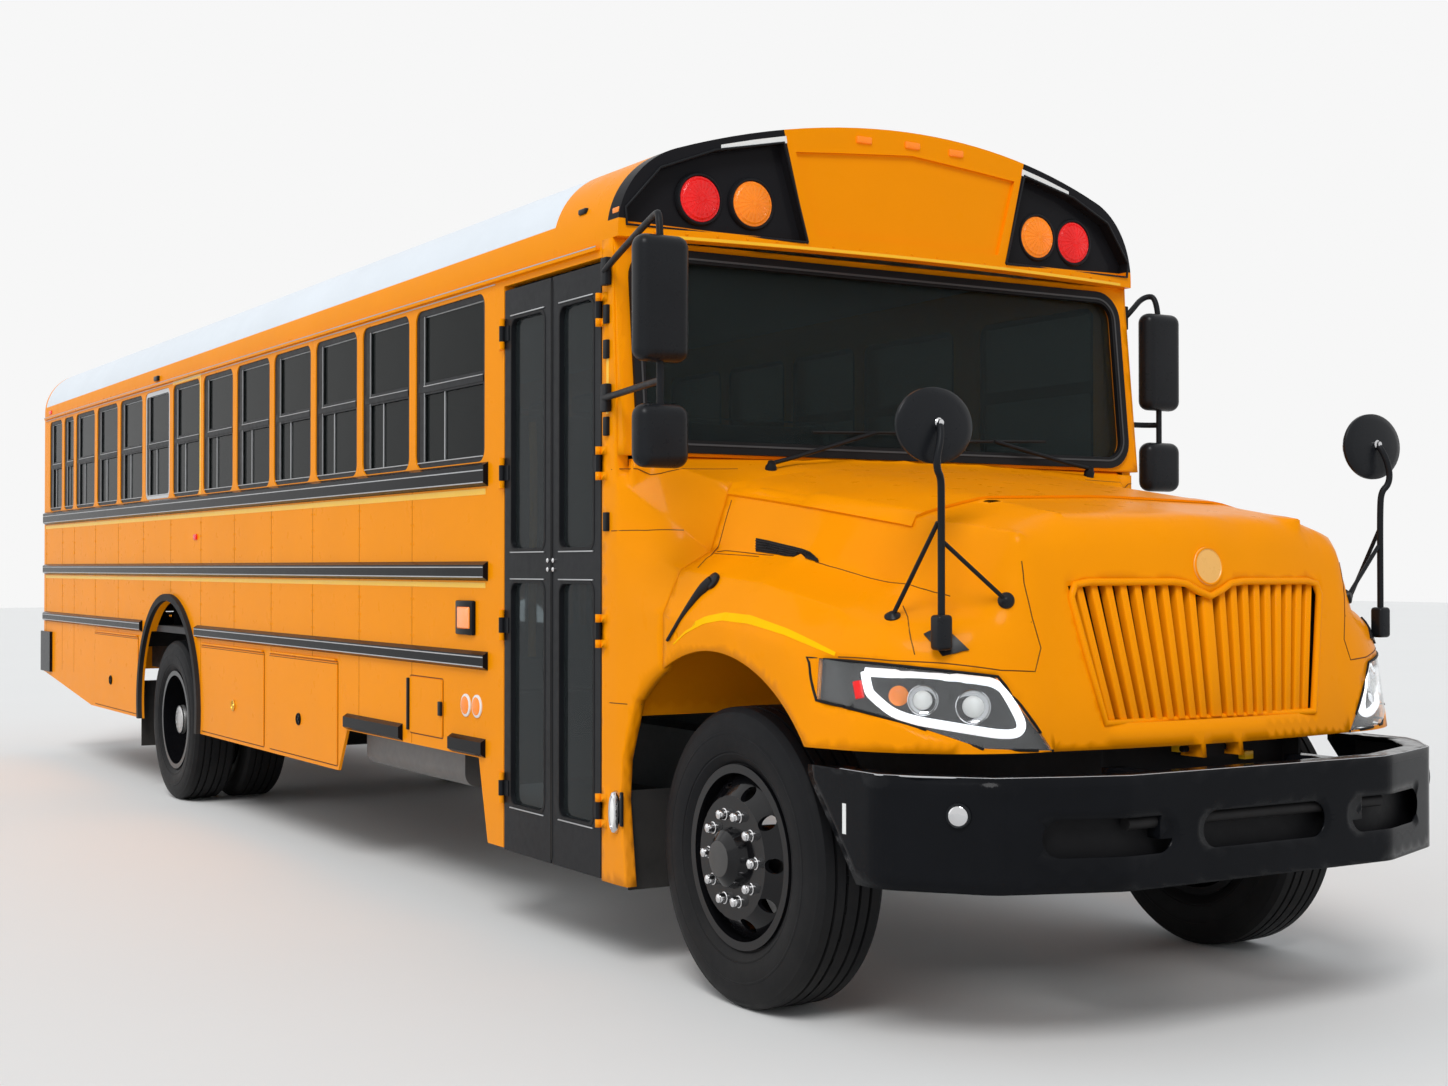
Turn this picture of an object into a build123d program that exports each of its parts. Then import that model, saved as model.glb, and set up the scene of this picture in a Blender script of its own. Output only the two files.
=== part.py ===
from build123d import *
import math
import os

os.makedirs("parts", exist_ok=True)

# A conventional school bus, its front towards -Y and its entrance door on the -X side.
# Lengths are millimetres. Places along the bus are measured back from the front axle.

# Driving dimensions of the whole bus
WHEELBASE = 6535.0
FRONT_OVERHANG = 1200.0
BODY_END = 10111.0
REAR_BUMPER_PROUD = 39.0
BODY_HALF = 1219.0
TYRE_RADIUS = 488.0

# Clearances
SEAT_GAP = 0.3
PIN_GAP = 0.5
DOOR_GAP = 5.0

# Heights of the body
FLOOR_TOP = 1060.0
FLOOR_PLATE = 40.0
SILL_DEPTH = 110.0
WINDOW_SILL = 1857.0
WINDOW_TOP = 2540.0
WALL_TOP = 2600.0
SASH_BAR = 2200.0
SKIRT_LOW = 455.0
SKIRT_RAISED = 656.0
SKIRT_END = 620.0

# Body shell
WALL = 45.0
SKIN = 14.0
CROWN_R = 3210.0
ROOF_CROWN_Z = 3088.0
SHOULDER_R = 320.0
ROOF_THICK = 40.0

# Stations along the body
DOOR_FRONT = 786.0
DOOR_REAR = 1611.0
DOOR_POST = 150.0
RAISED_SKIRT = (1854.0, 3382.0)
SKIRT_SLANT = 116.0
REAR_SKIRT = 8538.0
FIRST_PILLAR = 2572.0
PILLAR_PITCH = 651.5
PILLAR_COUNT = 11
PILLAR_WIDTH = 72.0
NARROW_PITCH = 387.0
LAST_WINDOW_END = 9930.0
WINDOW_CORNER = 55.0

# Wheel arches: centre behind its axle, centre height, radius
FRONT_ARCH = (75.0, 490.0, 665.0)
REAR_ARCH = (-25.0, 574.0, 648.0)

# Wheels and tyres
TYRE_WIDTH = 275.0
RIM_RADIUS = 286.0
FRONT_TYRE_OUTER = 1150.0
REAR_TYRE_OUTER = 1195.0
TWIN_SPACING = 320.0
KINGPIN_X = 850.0
SPINDLE_R = 42.0
HUB_R = 120.0

# Chassis frame
FRAME_HALF = 430.0
FRAME_TOP = 900.0
FRAME_DEPTH = 254.0
FRAME_FLANGE = 76.0
FRAME_STEEL = 10.0
FRAME_FRONT = -950.0
FRAME_REAR = 9950.0

# Hood and its tilt pivot
HOOD_REAR = 370.0
HOOD_LOW = 885.0
HOOD_WALL = 12.0
TILT_BACK = -960.0
TILT_Z = 866.0
TAB_X = 80.0

# Bumpers
BUMPER_LOW = 500.0
BUMPER_TOP = 830.0
BUMPER_HALF = 1150.0
BUMPER_STEEL = 8.0
BUMPER_FLANGE = 80.0
REAR_BUMPER_LOW = 630.0
REAR_BUMPER_TOP = 935.0

OVERALL = FRONT_OVERHANG + BODY_END + REAR_BUMPER_PROUD
FRONT_AXLE_Y = FRONT_OVERHANG - OVERALL / 2

NODES = {}


def back(distance):
    """Y of a place this far behind the front axle."""
    return FRONT_AXLE_Y + distance


def block(x0, x1, y0, y1, z0, z1):
    """A box between two corners, its Y given behind the front axle."""
    centre = Location(((x0 + x1) / 2, back((y0 + y1) / 2), (z0 + z1) / 2))
    return centre * Box(abs(x1 - x0), abs(y1 - y0), abs(z1 - z0))


def outline(points):
    """A flat face from its corner points."""
    return make_face(Polyline(*points, close=True))


def across(face, x0, x1):
    """A face drawn in (behind front axle, Z) made solid from x0 to x1."""
    placed = Plane.YZ.offset(x0) * (Pos(FRONT_AXLE_Y, 0) * face)
    return extrude(placed, amount=x1 - x0)


def along(face, y0, y1):
    """A face drawn in (X, Z) made solid between two stations behind the front axle."""
    placed = Plane.XZ.offset(-back(y1)) * face
    return extrude(placed, amount=y1 - y0)


def upright(face, z0, z1):
    """A face drawn in (X, behind front axle) made solid from z0 to z1."""
    placed = Plane.XY.offset(z0) * (Pos(0, FRONT_AXLE_Y) * face)
    return extrude(placed, amount=z1 - z0)


def rod(start, end, radius):
    """A round bar between two points given as (X, behind front axle, Z)."""
    a = Vector(start[0], back(start[1]), start[2])
    b = Vector(end[0], back(end[1]), end[2])
    plane = Plane(origin=a, z_dir=b - a)
    return extrude(plane * Circle(radius), amount=(b - a).length)


def tube_path(points, radius, bend):
    """A round pipe along straight runs joined by arcs."""
    route = [Vector(x, back(y), z) for x, y, z in points]
    wire = FilletPolyline(*route, radius=bend)
    start = Plane(origin=route[0], z_dir=route[1] - route[0])
    return sweep(start * Circle(radius), path=wire)


def both(part):
    """The part and its mirror image on the other side."""
    return [part, mirror(part, Plane.YZ)]


def node(name, *solids):
    """Collect the solids of one named sub-part."""
    flat = []
    for solid in solids:
        flat.extend(solid.solids())
    NODES[name] = flat


def dome(inset, bottom):
    """The roof's cross-section in (X, Z), set in all round, down to a height."""
    half = BODY_HALF - inset
    shoulder = SHOULDER_R - inset
    crown = CROWN_R - inset
    crown_z = ROOF_CROWN_Z - CROWN_R
    reach = CROWN_R - SHOULDER_R
    centre_x = BODY_HALF - SHOULDER_R
    centre_z = crown_z + math.sqrt(reach ** 2 - centre_x ** 2)
    turn = math.atan2(centre_z - crown_z, centre_x)
    meet = (crown * math.cos(turn), crown_z + crown * math.sin(turn))
    middle = (centre_x + shoulder * math.cos(turn / 2), centre_z + shoulder * math.sin(turn / 2))
    right = [
        Line((half, bottom), (half, centre_z)),
        ThreePointArc((half, centre_z), middle, meet),
    ]
    top = ThreePointArc(meet, (0, crown_z + crown), (-meet[0], meet[1]))
    left = [
        ThreePointArc((-meet[0], meet[1]), (-middle[0], middle[1]), (-half, centre_z)),
        Line((-half, centre_z), (-half, bottom)),
    ]
    floor_line = Line((-half, bottom), (half, bottom))
    return make_face(right + [top] + left + [floor_line])




def wheel_arch(arch, axle, x0, x1, grow=0.0):
    """A round cutter for a wheel arch."""
    shift, height, radius = arch
    face = Pos(axle + shift, height) * Circle(radius + grow)
    return across(face, x0, x1)


# Pillars between the side windows, then one post for the narrow window near the rear
PILLARS = [FIRST_PILLAR + PILLAR_PITCH * index for index in range(PILLAR_COUNT)]
NARROW_PILLAR = PILLARS[-1] + NARROW_PITCH
DOOR_WALL_START = DOOR_REAR + DOOR_GAP
FIRST_WINDOW = DOOR_WALL_START + DOOR_POST


def window_spans():
    """Front and rear edge of each side window opening."""
    fronts = [FIRST_WINDOW + PILLAR_WIDTH / 2]
    fronts += [pillar + PILLAR_WIDTH / 2 for pillar in PILLARS + [NARROW_PILLAR]]
    rears = [pillar - PILLAR_WIDTH / 2 for pillar in PILLARS + [NARROW_PILLAR]]
    rears.append(LAST_WINDOW_END)
    return list(zip(fronts, rears))


DRIVER_WINDOW = (DOOR_FRONT + 60.0, DOOR_WALL_START)
WALL_END = BODY_END - WALL
FLOOR_LOW = FLOOR_TOP - FLOOR_PLATE


def rounded_opening(front, rear, low, high, inset, corner):
    """A rounded rectangle in (behind front axle, Z)."""
    size = (rear - front - 2 * inset, high - low - 2 * inset)
    return Pos((front + rear) / 2, (low + high) / 2) * RectangleRounded(*size, corner)


def skirt_points(start, foot):
    """Lower edge of a side wall from its front post to the rear corner."""
    raised_front, raised_rear = RAISED_SKIRT
    return [
        (start, foot),
        (start + DOOR_POST, foot),
        (raised_front, SKIRT_RAISED),
        (raised_rear, SKIRT_RAISED),
        (raised_rear + SKIRT_SLANT, SKIRT_LOW),
        (REAR_SKIRT, SKIRT_LOW),
        (WALL_END, SKIRT_END),
        (WALL_END, WALL_TOP),
    ]


def side_wall(start, foot, header_front, windows):
    """One side wall on the +X side, thick above the floor and a single skin below it."""
    points = skirt_points(start, foot)
    points.append((header_front, WALL_TOP))
    points.append((header_front, WINDOW_TOP))
    points.append((start, WINDOW_TOP))
    wall = across(outline(points), BODY_HALF - WALL, BODY_HALF)
    wall -= block(BODY_HALF - WALL, BODY_HALF - SKIN, start, WALL_END, 0, FLOOR_LOW)
    wall -= wheel_arch(REAR_ARCH, WHEELBASE, BODY_HALF - WALL, BODY_HALF)
    for front, rear in windows:
        opening = rounded_opening(front, rear, WINDOW_SILL, WINDOW_TOP, 0, WINDOW_CORNER)
        wall -= across(opening, BODY_HALF - WALL, BODY_HALF)
    return wall


# Side walls: the right one starts behind the entrance door, the left one at the front post
DOOR_LOW = 323.0
DOOR_TOP = WINDOW_TOP - 20.0
CAB_START = 670.0
right_wall = mirror(side_wall(DOOR_WALL_START, DOOR_LOW, DOOR_FRONT - DOOR_GAP, window_spans()), Plane.YZ)
node("side_wall_right", right_wall)

LEFT_SPANS = [DRIVER_WINDOW] + window_spans()
CAB_LOW = SKIRT_RAISED


def left_side_wall():
    """The left wall, which also closes the side beside the driver."""
    wall = side_wall(DOOR_WALL_START, SKIRT_RAISED, DOOR_FRONT - DOOR_GAP, LEFT_SPANS)
    driver = block(BODY_HALF - WALL, BODY_HALF, DOOR_FRONT - DOOR_GAP, DOOR_WALL_START, CAB_LOW, WINDOW_TOP)
    driver -= block(BODY_HALF - WALL, BODY_HALF - SKIN, DOOR_FRONT - DOOR_GAP, DOOR_WALL_START, 0, FLOOR_LOW)
    opening = rounded_opening(*DRIVER_WINDOW, WINDOW_SILL, WINDOW_TOP, 0, WINDOW_CORNER)
    driver -= across(opening, BODY_HALF - WALL, BODY_HALF)
    return wall + driver


node("side_wall_left", left_side_wall())

# Window frames with their sash bars, and the panes in them
FRAME_FACE = 26.0
FRAME_BAR = 36.0
FRAME_CHANNEL = 30.0
PANE = 6.0
FRAME_OUT = BODY_HALF - 6.0
PANE_OUT = FRAME_OUT - FRAME_CHANNEL / 2 + PANE / 2


def window_frame(front, rear):
    """A black frame with one bar across it."""
    corner = WINDOW_CORNER - SEAT_GAP
    ring = rounded_opening(front, rear, WINDOW_SILL, WINDOW_TOP, SEAT_GAP, corner)
    low_gap = rounded_opening(front, rear, WINDOW_SILL, SASH_BAR, FRAME_FACE, 1.0)
    high_gap = rounded_opening(front, rear, SASH_BAR, WINDOW_TOP, FRAME_FACE, 1.0)
    return across(ring - low_gap - high_gap, FRAME_OUT - FRAME_CHANNEL, FRAME_OUT)


def window_panes(front, rear):
    """The lower and the upper pane of one window."""
    inset = FRAME_FACE + SEAT_GAP
    panes = []
    for low, high in ((WINDOW_SILL, SASH_BAR), (SASH_BAR, WINDOW_TOP)):
        face = rounded_opening(front, rear, low, high, inset, 1.0)
        panes.append(across(face, PANE_OUT - PANE, PANE_OUT))
    return panes


frames = [window_frame(*span) for span in LEFT_SPANS]
frames += [mirror(window_frame(*span), Plane.YZ) for span in window_spans()]
node("window_frames", *frames)
panes = []
for span in LEFT_SPANS:
    panes += window_panes(*span)
for span in window_spans():
    panes += [mirror(pane, Plane.YZ) for pane in window_panes(*span)]
node("window_glass", *panes)

# Roof shell from behind the front cap to the rear wall
CAP_FRONT = 560.0
CAP_SWEEP = 110.0
CAP_REAR = 1180.0
roof_face = dome(0, WALL_TOP) - dome(ROOF_THICK, WALL_TOP)
node("roof", along(roof_face, CAP_REAR, WALL_END))

# Front cap: the dome closed at its front, bowed in plan, with a shallow blank panel and two lamp recesses
CAP_WALL = 60.0
CAP_LOW = WALL_TOP
RECESS = 14.0
LAMP_RECESS = 45.0


def cap_plan(inset):
    """The cap's bowed outline seen from above."""
    half = BODY_HALF + WALL
    rear = (CAP_REAR, CAP_REAR)
    front_arc = ThreePointArc(
        (-half, CAP_FRONT + CAP_SWEEP + inset), (0, CAP_FRONT + inset), (half, CAP_FRONT + CAP_SWEEP + inset)
    )
    sides = Polyline(
        (half, CAP_FRONT + CAP_SWEEP + inset), (half, rear[0]), (-half, rear[1]),
        (-half, CAP_FRONT + CAP_SWEEP + inset),
    )
    return make_face([front_arc, sides])


CAP_TOP = ROOF_CROWN_Z + WALL
LAMP_PANEL = [(471.0, 2631.0), (1190.0, 2645.0), (1190.0, 2700.0), (1060.0, 2850.0), (850.0, 2930.0), (573.0, 2985.0)]
BLANK_PANEL = [(-430.0, 2660.0), (430.0, 2660.0), (520.0, 2960.0), (0.0, 3000.0), (-520.0, 2960.0)]


def front_cap():
    """The cap moulding over the windscreen."""
    shape = along(dome(0, CAP_LOW), CAP_FRONT, CAP_REAR) & upright(cap_plan(0), CAP_LOW, CAP_TOP)
    inside = along(dome(ROOF_THICK, CAP_LOW), CAP_FRONT, CAP_REAR)
    inside &= upright(cap_plan(CAP_WALL), CAP_LOW, CAP_TOP)
    shape -= inside
    lamp_cut = upright(cap_plan(-WALL), CAP_LOW, CAP_TOP) - upright(cap_plan(LAMP_RECESS), CAP_LOW, CAP_TOP)
    lamps = along(outline(LAMP_PANEL), CAP_FRONT - WALL, CAP_REAR)
    blank_cut = upright(cap_plan(-WALL), CAP_LOW, CAP_TOP) - upright(cap_plan(RECESS), CAP_LOW, CAP_TOP)
    blank = along(outline(BLANK_PANEL), CAP_FRONT - WALL, CAP_REAR)
    shape -= (lamps + mirror(lamps, Plane.YZ)) & lamp_cut
    shape -= blank & blank_cut
    return shape


node("front_cap", front_cap())

# Rear wall with its doorway and windows
REAR_DOOR_HALF = 460.0
REAR_DOOR_LOW = FLOOR_TOP + 10.0
REAR_DOOR_TOP = 2560.0
REAR_WINDOW = (560.0, 1050.0, 1900.0, 2480.0)
PLATE_X = 760.0
PLATE_Z = 1180.0
PLATE_SPAN = 178.0
PLATE_HOLE = 3.5


def rear_wall():
    """The flat rear wall under the roof line."""
    wall = along(dome(0, SKIRT_END), WALL_END, BODY_END)
    doorway = block(-REAR_DOOR_HALF, REAR_DOOR_HALF, WALL_END, BODY_END, REAR_DOOR_LOW, REAR_DOOR_TOP)
    x0, x1, z0, z1 = REAR_WINDOW
    window = Pos((x0 + x1) / 2, (z0 + z1) / 2) * RectangleRounded(x1 - x0, z1 - z0, WINDOW_CORNER)
    window = along(window, WALL_END, BODY_END)
    wall = wall - doorway - window - mirror(window, Plane.YZ)
    for x in (-PLATE_SPAN / 2, PLATE_SPAN / 2):
        wall -= along(Pos(PLATE_X + x, PLATE_Z) * Circle(PLATE_HOLE), WALL_END, BODY_END)
    return wall


node("rear_wall", rear_wall())
rear_pane = Pos((REAR_WINDOW[0] + REAR_WINDOW[1]) / 2, (REAR_WINDOW[2] + REAR_WINDOW[3]) / 2) * RectangleRounded(
    REAR_WINDOW[1] - REAR_WINDOW[0] - 2 * SEAT_GAP,
    REAR_WINDOW[3] - REAR_WINDOW[2] - 2 * SEAT_GAP,
    WINDOW_CORNER - SEAT_GAP,
)
rear_pane = along(rear_pane, BODY_END - WALL / 2, BODY_END - WALL / 2 + PANE)

# Floor with its cross sills and seat legs
FLOOR_FRONT = 660.0
STEP_REAR = DOOR_REAR
STEP_HALF = 640.0
SILL_WIDTH = 60.0
SILL_PITCH = 900.0
SILL_LOW = FRAME_TOP + SEAT_GAP
WHEEL_CLEAR_HALF = REAR_TYRE_OUTER - TYRE_WIDTH - TWIN_SPACING - 40.0


def floor_pan():
    """The floor plate on sills that lie across the frame rails."""
    inner = BODY_HALF - WALL - SEAT_GAP
    plate = block(-inner, inner, FLOOR_FRONT, WALL_END - SEAT_GAP, FLOOR_LOW, FLOOR_TOP)
    plate -= block(-BODY_HALF, -STEP_HALF, DOOR_FRONT, STEP_REAR, FLOOR_LOW, FLOOR_TOP)
    count = int((WALL_END - STEP_REAR) // SILL_PITCH)
    for index in range(count):
        y = STEP_REAR + SILL_PITCH * (index + 0.6)
        over_wheels = abs(y - WHEELBASE) < TYRE_RADIUS + SILL_WIDTH * 2
        reach = WHEEL_CLEAR_HALF if over_wheels else inner
        plate += block(-reach, reach, y, y + SILL_WIDTH, SILL_LOW, FLOOR_LOW)
    return plate


node("floor_pan", floor_pan())

# Passenger seats: rows of two, each a cushion and a tall back in one, on the floor
SEAT_ROWS = 11
SEAT_FIRST = 2250.0
SEAT_PITCH = 700.0
SEAT_WIDTH = 960.0
SEAT_WALL_GAP = 30.0
SEAT_LOW = 330.0
CUSHION_TOP = 450.0
SEAT_DEPTH = 430.0
BACK_TOP = 1120.0
BACK_THICK = 110.0
BACK_LEAN = 110.0


def seat_profile(y):
    """Side profile of one bench, its front edge at y."""
    z = FLOOR_TOP
    rear = y + SEAT_DEPTH
    return outline([
        (y, z + SEAT_LOW),
        (rear + BACK_THICK, z + SEAT_LOW),
        (rear + BACK_THICK + BACK_LEAN, z + BACK_TOP),
        (rear + BACK_LEAN + BACK_THICK * 0.3, z + BACK_TOP + BACK_THICK * 0.2),
        (rear + BACK_LEAN * 0.9, z + BACK_TOP - BACK_THICK * 0.4),
        (rear, z + CUSHION_TOP),
        (y, z + CUSHION_TOP),
    ])


SEAT_OUT = BODY_HALF - WALL - SEAT_WALL_GAP
LEG = 32.0
LEG_PLACES = (70.0, 430.0)
LEG_INSET = 60.0


def seat_frame(y):
    """Steel frame of one bench: two pairs of legs under a ring of rails."""
    top = FLOOR_TOP + SEAT_LOW - SEAT_GAP
    front = y + LEG_PLACES[0]
    rear = y + LEG_PLACES[1]
    frame = None
    for x in (SEAT_OUT - SEAT_WIDTH + LEG_INSET, SEAT_OUT - LEG_INSET - LEG):
        side = block(x, x + LEG, front, rear + LEG, top - LEG, top)
        for place in (front, rear):
            side += block(x, x + LEG, place, place + LEG, FLOOR_TOP, top)
        frame = side if frame is None else frame + side
    for place in (front, rear):
        frame += block(SEAT_OUT - SEAT_WIDTH + LEG_INSET, SEAT_OUT - LEG_INSET, place, place + LEG, top - LEG, top)
    return frame


seats = []
seat_frames = []
for row in range(SEAT_ROWS):
    y = SEAT_FIRST + SEAT_PITCH * row
    seats += both(across(seat_profile(y), SEAT_OUT - SEAT_WIDTH, SEAT_OUT))
    seat_frames += both(seat_frame(y))
node("seat_frames", *seat_frames)

# Driver's seat on its pedestal
DRIVER_X = (420.0, 920.0)
DRIVER_Y = 1090.0
driver_seat = across(seat_profile(DRIVER_Y), *DRIVER_X)
driver_seat += block(DRIVER_X[0] + 100, DRIVER_X[1] - 100, DRIVER_Y + 80, DRIVER_Y + 400, FLOOR_TOP + SEAT_GAP,
                     FLOOR_TOP + SEAT_LOW)
node("seats", *seats, driver_seat)

# Step well behind the entrance door
STEP_THICK = 25.0
STEP_COUNT = 3
STEP_OUT = BODY_HALF - WALL - 25.0
STEP_BASE = 345.0


def step_well():
    """Treads and risers from the door up to the floor, with a closed side at each end."""
    rise = (FLOOR_TOP - STEP_BASE) / STEP_COUNT
    tread = (STEP_OUT - STEP_HALF) / STEP_COUNT
    points = []
    for index in range(STEP_COUNT):
        x = STEP_OUT - tread * index
        z = STEP_BASE + rise * index
        points.append((x, z))
        points.append((x - tread, z))
    low = [(x - STEP_THICK, z - STEP_THICK) for x, z in reversed(points)]
    low[-1] = (points[0][0], points[0][1] - STEP_THICK)
    points.append((STEP_HALF, FLOOR_LOW - SEAT_GAP))
    points.append((STEP_HALF - STEP_THICK, FLOOR_LOW - SEAT_GAP))
    treads = along(outline(points + low), DOOR_FRONT + STEP_THICK, STEP_REAR - STEP_THICK)
    return treads


node("step_well", mirror(step_well(), Plane.YZ))

# Chassis frame: two channel rails and the cross members between them
CROSS_PLACES = (-880.0, 1750.0, 3000.0, 4300.0, 5600.0, 7500.0, 8700.0, 9850.0)
CROSS_WIDTH = 60.0
CROSS_DEPTH = 120.0


def chassis_frame():
    """Ladder frame under the floor."""
    low = FRAME_TOP - FRAME_DEPTH
    web = block(FRAME_HALF - FRAME_STEEL, FRAME_HALF, FRAME_FRONT, FRAME_REAR, low, FRAME_TOP)
    top = block(FRAME_HALF - FRAME_FLANGE, FRAME_HALF, FRAME_FRONT, FRAME_REAR, FRAME_TOP - FRAME_STEEL, FRAME_TOP)
    base = block(FRAME_HALF - FRAME_FLANGE, FRAME_HALF, FRAME_FRONT, FRAME_REAR, low, low + FRAME_STEEL)
    rail = web + top + base
    frame = rail + mirror(rail, Plane.YZ)
    inner = FRAME_HALF - FRAME_STEEL / 2
    for y in CROSS_PLACES:
        frame += block(-inner, inner, y, y + CROSS_WIDTH, FRAME_TOP - CROSS_DEPTH, FRAME_TOP - FRAME_STEEL / 2)
    for x in (-TOW_X, TOW_X):
        plate = block(x - TOW_THICK / 2, x + TOW_THICK / 2, CROSS_PLACES[-1], TOW_BACK + 50, TOW_Z - 50, FRAME_TOP - 60)
        frame += plate - rod((x - 50, TOW_BACK, TOW_Z), (x + 50, TOW_BACK, TOW_Z), TOW_R)
    pivot_low = TILT_Z - 26
    frame += block(-TAB_X + 25, TAB_X - 25, TILT_BACK - 20, CROSS_PLACES[0] + 20, pivot_low, TILT_Z + 24)
    frame += rod((-TAB_X - 30, TILT_BACK, TILT_Z), (TAB_X + 30, TILT_BACK, TILT_Z), TILT_PIN)
    return frame


TILT_PIN = 10.0
TOW_X = 300.0
TOW_THICK = 22.0
TOW_BACK = 10000.0
TOW_Z = 560.0
TOW_R = 18.0
node("chassis_frame", chassis_frame())

# Engine as one block with its gearbox, and the shaft to the rear axle
ENGINE = (-330.0, 330.0, -620.0, 430.0, 600.0, 1250.0)
GEARBOX = (-200.0, 200.0, 430.0, 1150.0, 600.0, 890.0)
SHAFT_R = 48.0
SHAFT_Z = 640.0
engine = block(*ENGINE) + block(*GEARBOX)
engine = engine - block(FRAME_HALF - FRAME_FLANGE - 30, FRAME_HALF, -900, 900, 500, FRAME_TOP + 5)
RADIATOR = (-340.0, 340.0, -875.0, -825.0, FRAME_TOP - FRAME_STEEL / 2 + SEAT_GAP, 1330.0)
node("engine_block", engine, block(*RADIATOR))
AXLE_CASE_R = 90.0
DIFF_R = 210.0
SHAFT_GAP = 1.6
node("drive_shaft", rod((0, GEARBOX[3] + SHAFT_GAP, SHAFT_Z), (0, WHEELBASE - DIFF_R - 60 - SHAFT_GAP, TYRE_RADIUS + 20), SHAFT_R))

# Axles
BEAM_HALF = KINGPIN_X
BEAM_Z = 468.0
BEAM_SIZE = (90.0, 80.0)
EYE_R = 45.0
EYE_HALF = 60.0
KING_R = 20.0


def front_axle():
    """A beam with an upright eye at each end for the kingpin."""
    beam = block(-BEAM_HALF, BEAM_HALF, -BEAM_SIZE[0] / 2, BEAM_SIZE[0] / 2, BEAM_Z - 35, BEAM_Z + 35)
    for side in (-1, 1):
        x = side * KINGPIN_X
        beam += rod((x, 0, TYRE_RADIUS - EYE_HALF), (x, 0, TYRE_RADIUS + EYE_HALF), EYE_R)
    for side in (-1, 1):
        x = side * KINGPIN_X
        beam -= rod((x, 0, 0), (x, 0, TYRE_RADIUS * 2), KING_R + PIN_GAP)
        beam += block(side * SPRING_X - SPRING_W / 2, side * SPRING_X + SPRING_W / 2, -70, 70, BEAM_Z, PAD_TOP)
    return beam


SPRING_X = 392.0
SPRING_W = 76.0
PAD_TOP = 520.0
REAR_SPRING_X = FRAME_HALF + SPRING_W / 2 + 20
REAR_PAD = 105.0
REAR_RISE = 60.0
node("front_axle", front_axle())

SPINDLE_END = 1075.0
REAR_HUB_END = 1150.0
TWIN_MID = REAR_TYRE_OUTER - TYRE_WIDTH / 2 - TWIN_SPACING / 2


def rear_axle():
    """Housing with the final drive's bowl and the spindles that carry the twin wheels."""
    y = WHEELBASE
    z = TYRE_RADIUS
    reach = TWIN_MID - 90
    case = rod((-reach, y, z), (reach, y, z), AXLE_CASE_R)
    case += rod((-130, y, z), (130, y, z), DIFF_R)
    case += rod((0, y - DIFF_R - 60, z + 20), (0, y, z + 20), 110)
    case += rod((-REAR_HUB_END + 60, y, z), (REAR_HUB_END - 60, y, z), SPINDLE_R)
    for side in (-1, 1):
        x = side * REAR_SPRING_X
        case += block(x - SPRING_W / 2, x + SPRING_W / 2, y - 80, y + 80, z, z + REAR_PAD)
    return case


node("rear_axle", rear_axle())

# Leaf springs between axle pads and frame
SPRING_THICK = 60.0
SHACKLE = 40.0


def spring(axle, base, half, x, rise, hanger):
    """One bowed leaf pack with a hanger at each end that meets the rail."""
    lower = ThreePointArc((axle - half, base + rise), (axle, base), (axle + half, base + rise))
    upper = ThreePointArc(
        (axle - half, base + rise + SPRING_THICK / 2), (axle, base + SPRING_THICK),
        (axle + half, base + rise + SPRING_THICK / 2),
    )
    ends = [
        Line((axle - half, base + rise), (axle - half, base + rise + SPRING_THICK / 2)),
        Line((axle + half, base + rise), (axle + half, base + rise + SPRING_THICK / 2)),
    ]
    pack = across(make_face([lower, upper] + ends), x - SPRING_W / 2, x + SPRING_W / 2)
    inner, top = hanger
    for y in (axle - half, axle + half - SHACKLE):
        pack += block(inner, x + SPRING_W / 2, y, y + SHACKLE, base + rise, top)
    return pack


front_base = PAD_TOP + SEAT_GAP
front_rise = FRAME_TOP - FRAME_DEPTH - front_base - SPRING_THICK - 20
front_hanger = (SPRING_X - SPRING_W / 2, FRAME_TOP - FRAME_DEPTH - SEAT_GAP)
front_spring = spring(0, front_base, 640.0, SPRING_X, front_rise, front_hanger)
rear_base = TYRE_RADIUS + REAR_PAD + SEAT_GAP
rear_hanger = (FRAME_HALF + SEAT_GAP, rear_base + REAR_RISE + 120)
rear_spring = spring(WHEELBASE, rear_base, 700.0, REAR_SPRING_X, REAR_RISE, rear_hanger)

# Wheels: profiles are (X from the tyre's middle, radius from the axle)
TYRE_PROFILE = [
    (105.0, 286.3), (105.0, 303.0), (126.0, 330.0), (137.0, 385.0), (133.0, 435.0), (122.0, 468.0), (102.0, 486.0),
    (0.0, 488.0),
]
DISC_OUT = 140.0
DISC_THICK = 12.0
BARREL = 14.0
FLANGE_R = 300.0
HAND_HOLES = 10
HAND_HOLE_R = 24.0
HAND_HOLE_PLACE = 222.0
NUT_COUNT = 10
NUT_CIRCLE = 143.0
NUT_R = 16.0
NUT_LENGTH = 26.0


def turned(points, x, axle):
    """Revolve a (X, radius) outline about a wheel's axis."""
    face = outline([(x + px, TYRE_RADIUS + pr) for px, pr in points])
    placed = Plane.XZ.offset(-back(axle)) * face
    axis = Axis((0, back(axle), TYRE_RADIUS), (1, 0, 0))
    return revolve(placed, axis, 360)


def tyre(x, axle):
    """A tyre with rounded shoulders."""
    mirrored = [(-px, pr) for px, pr in reversed(TYRE_PROFILE[:-1])]
    return turned(TYRE_PROFILE + mirrored, x, axle)


def rim_barrel(x, axle):
    """The rim's barrel with a flange at each edge."""
    edge = 105.5
    lip = 12.0
    outer = RIM_RADIUS
    inner = outer - BARREL
    points = [
        (-edge - lip, inner), (edge + lip, inner), (edge + lip, FLANGE_R), (edge, FLANGE_R), (edge, outer),
        (-edge, outer), (-edge, FLANGE_R), (-edge - lip, FLANGE_R),
    ]
    return turned(points, x, axle)


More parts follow.
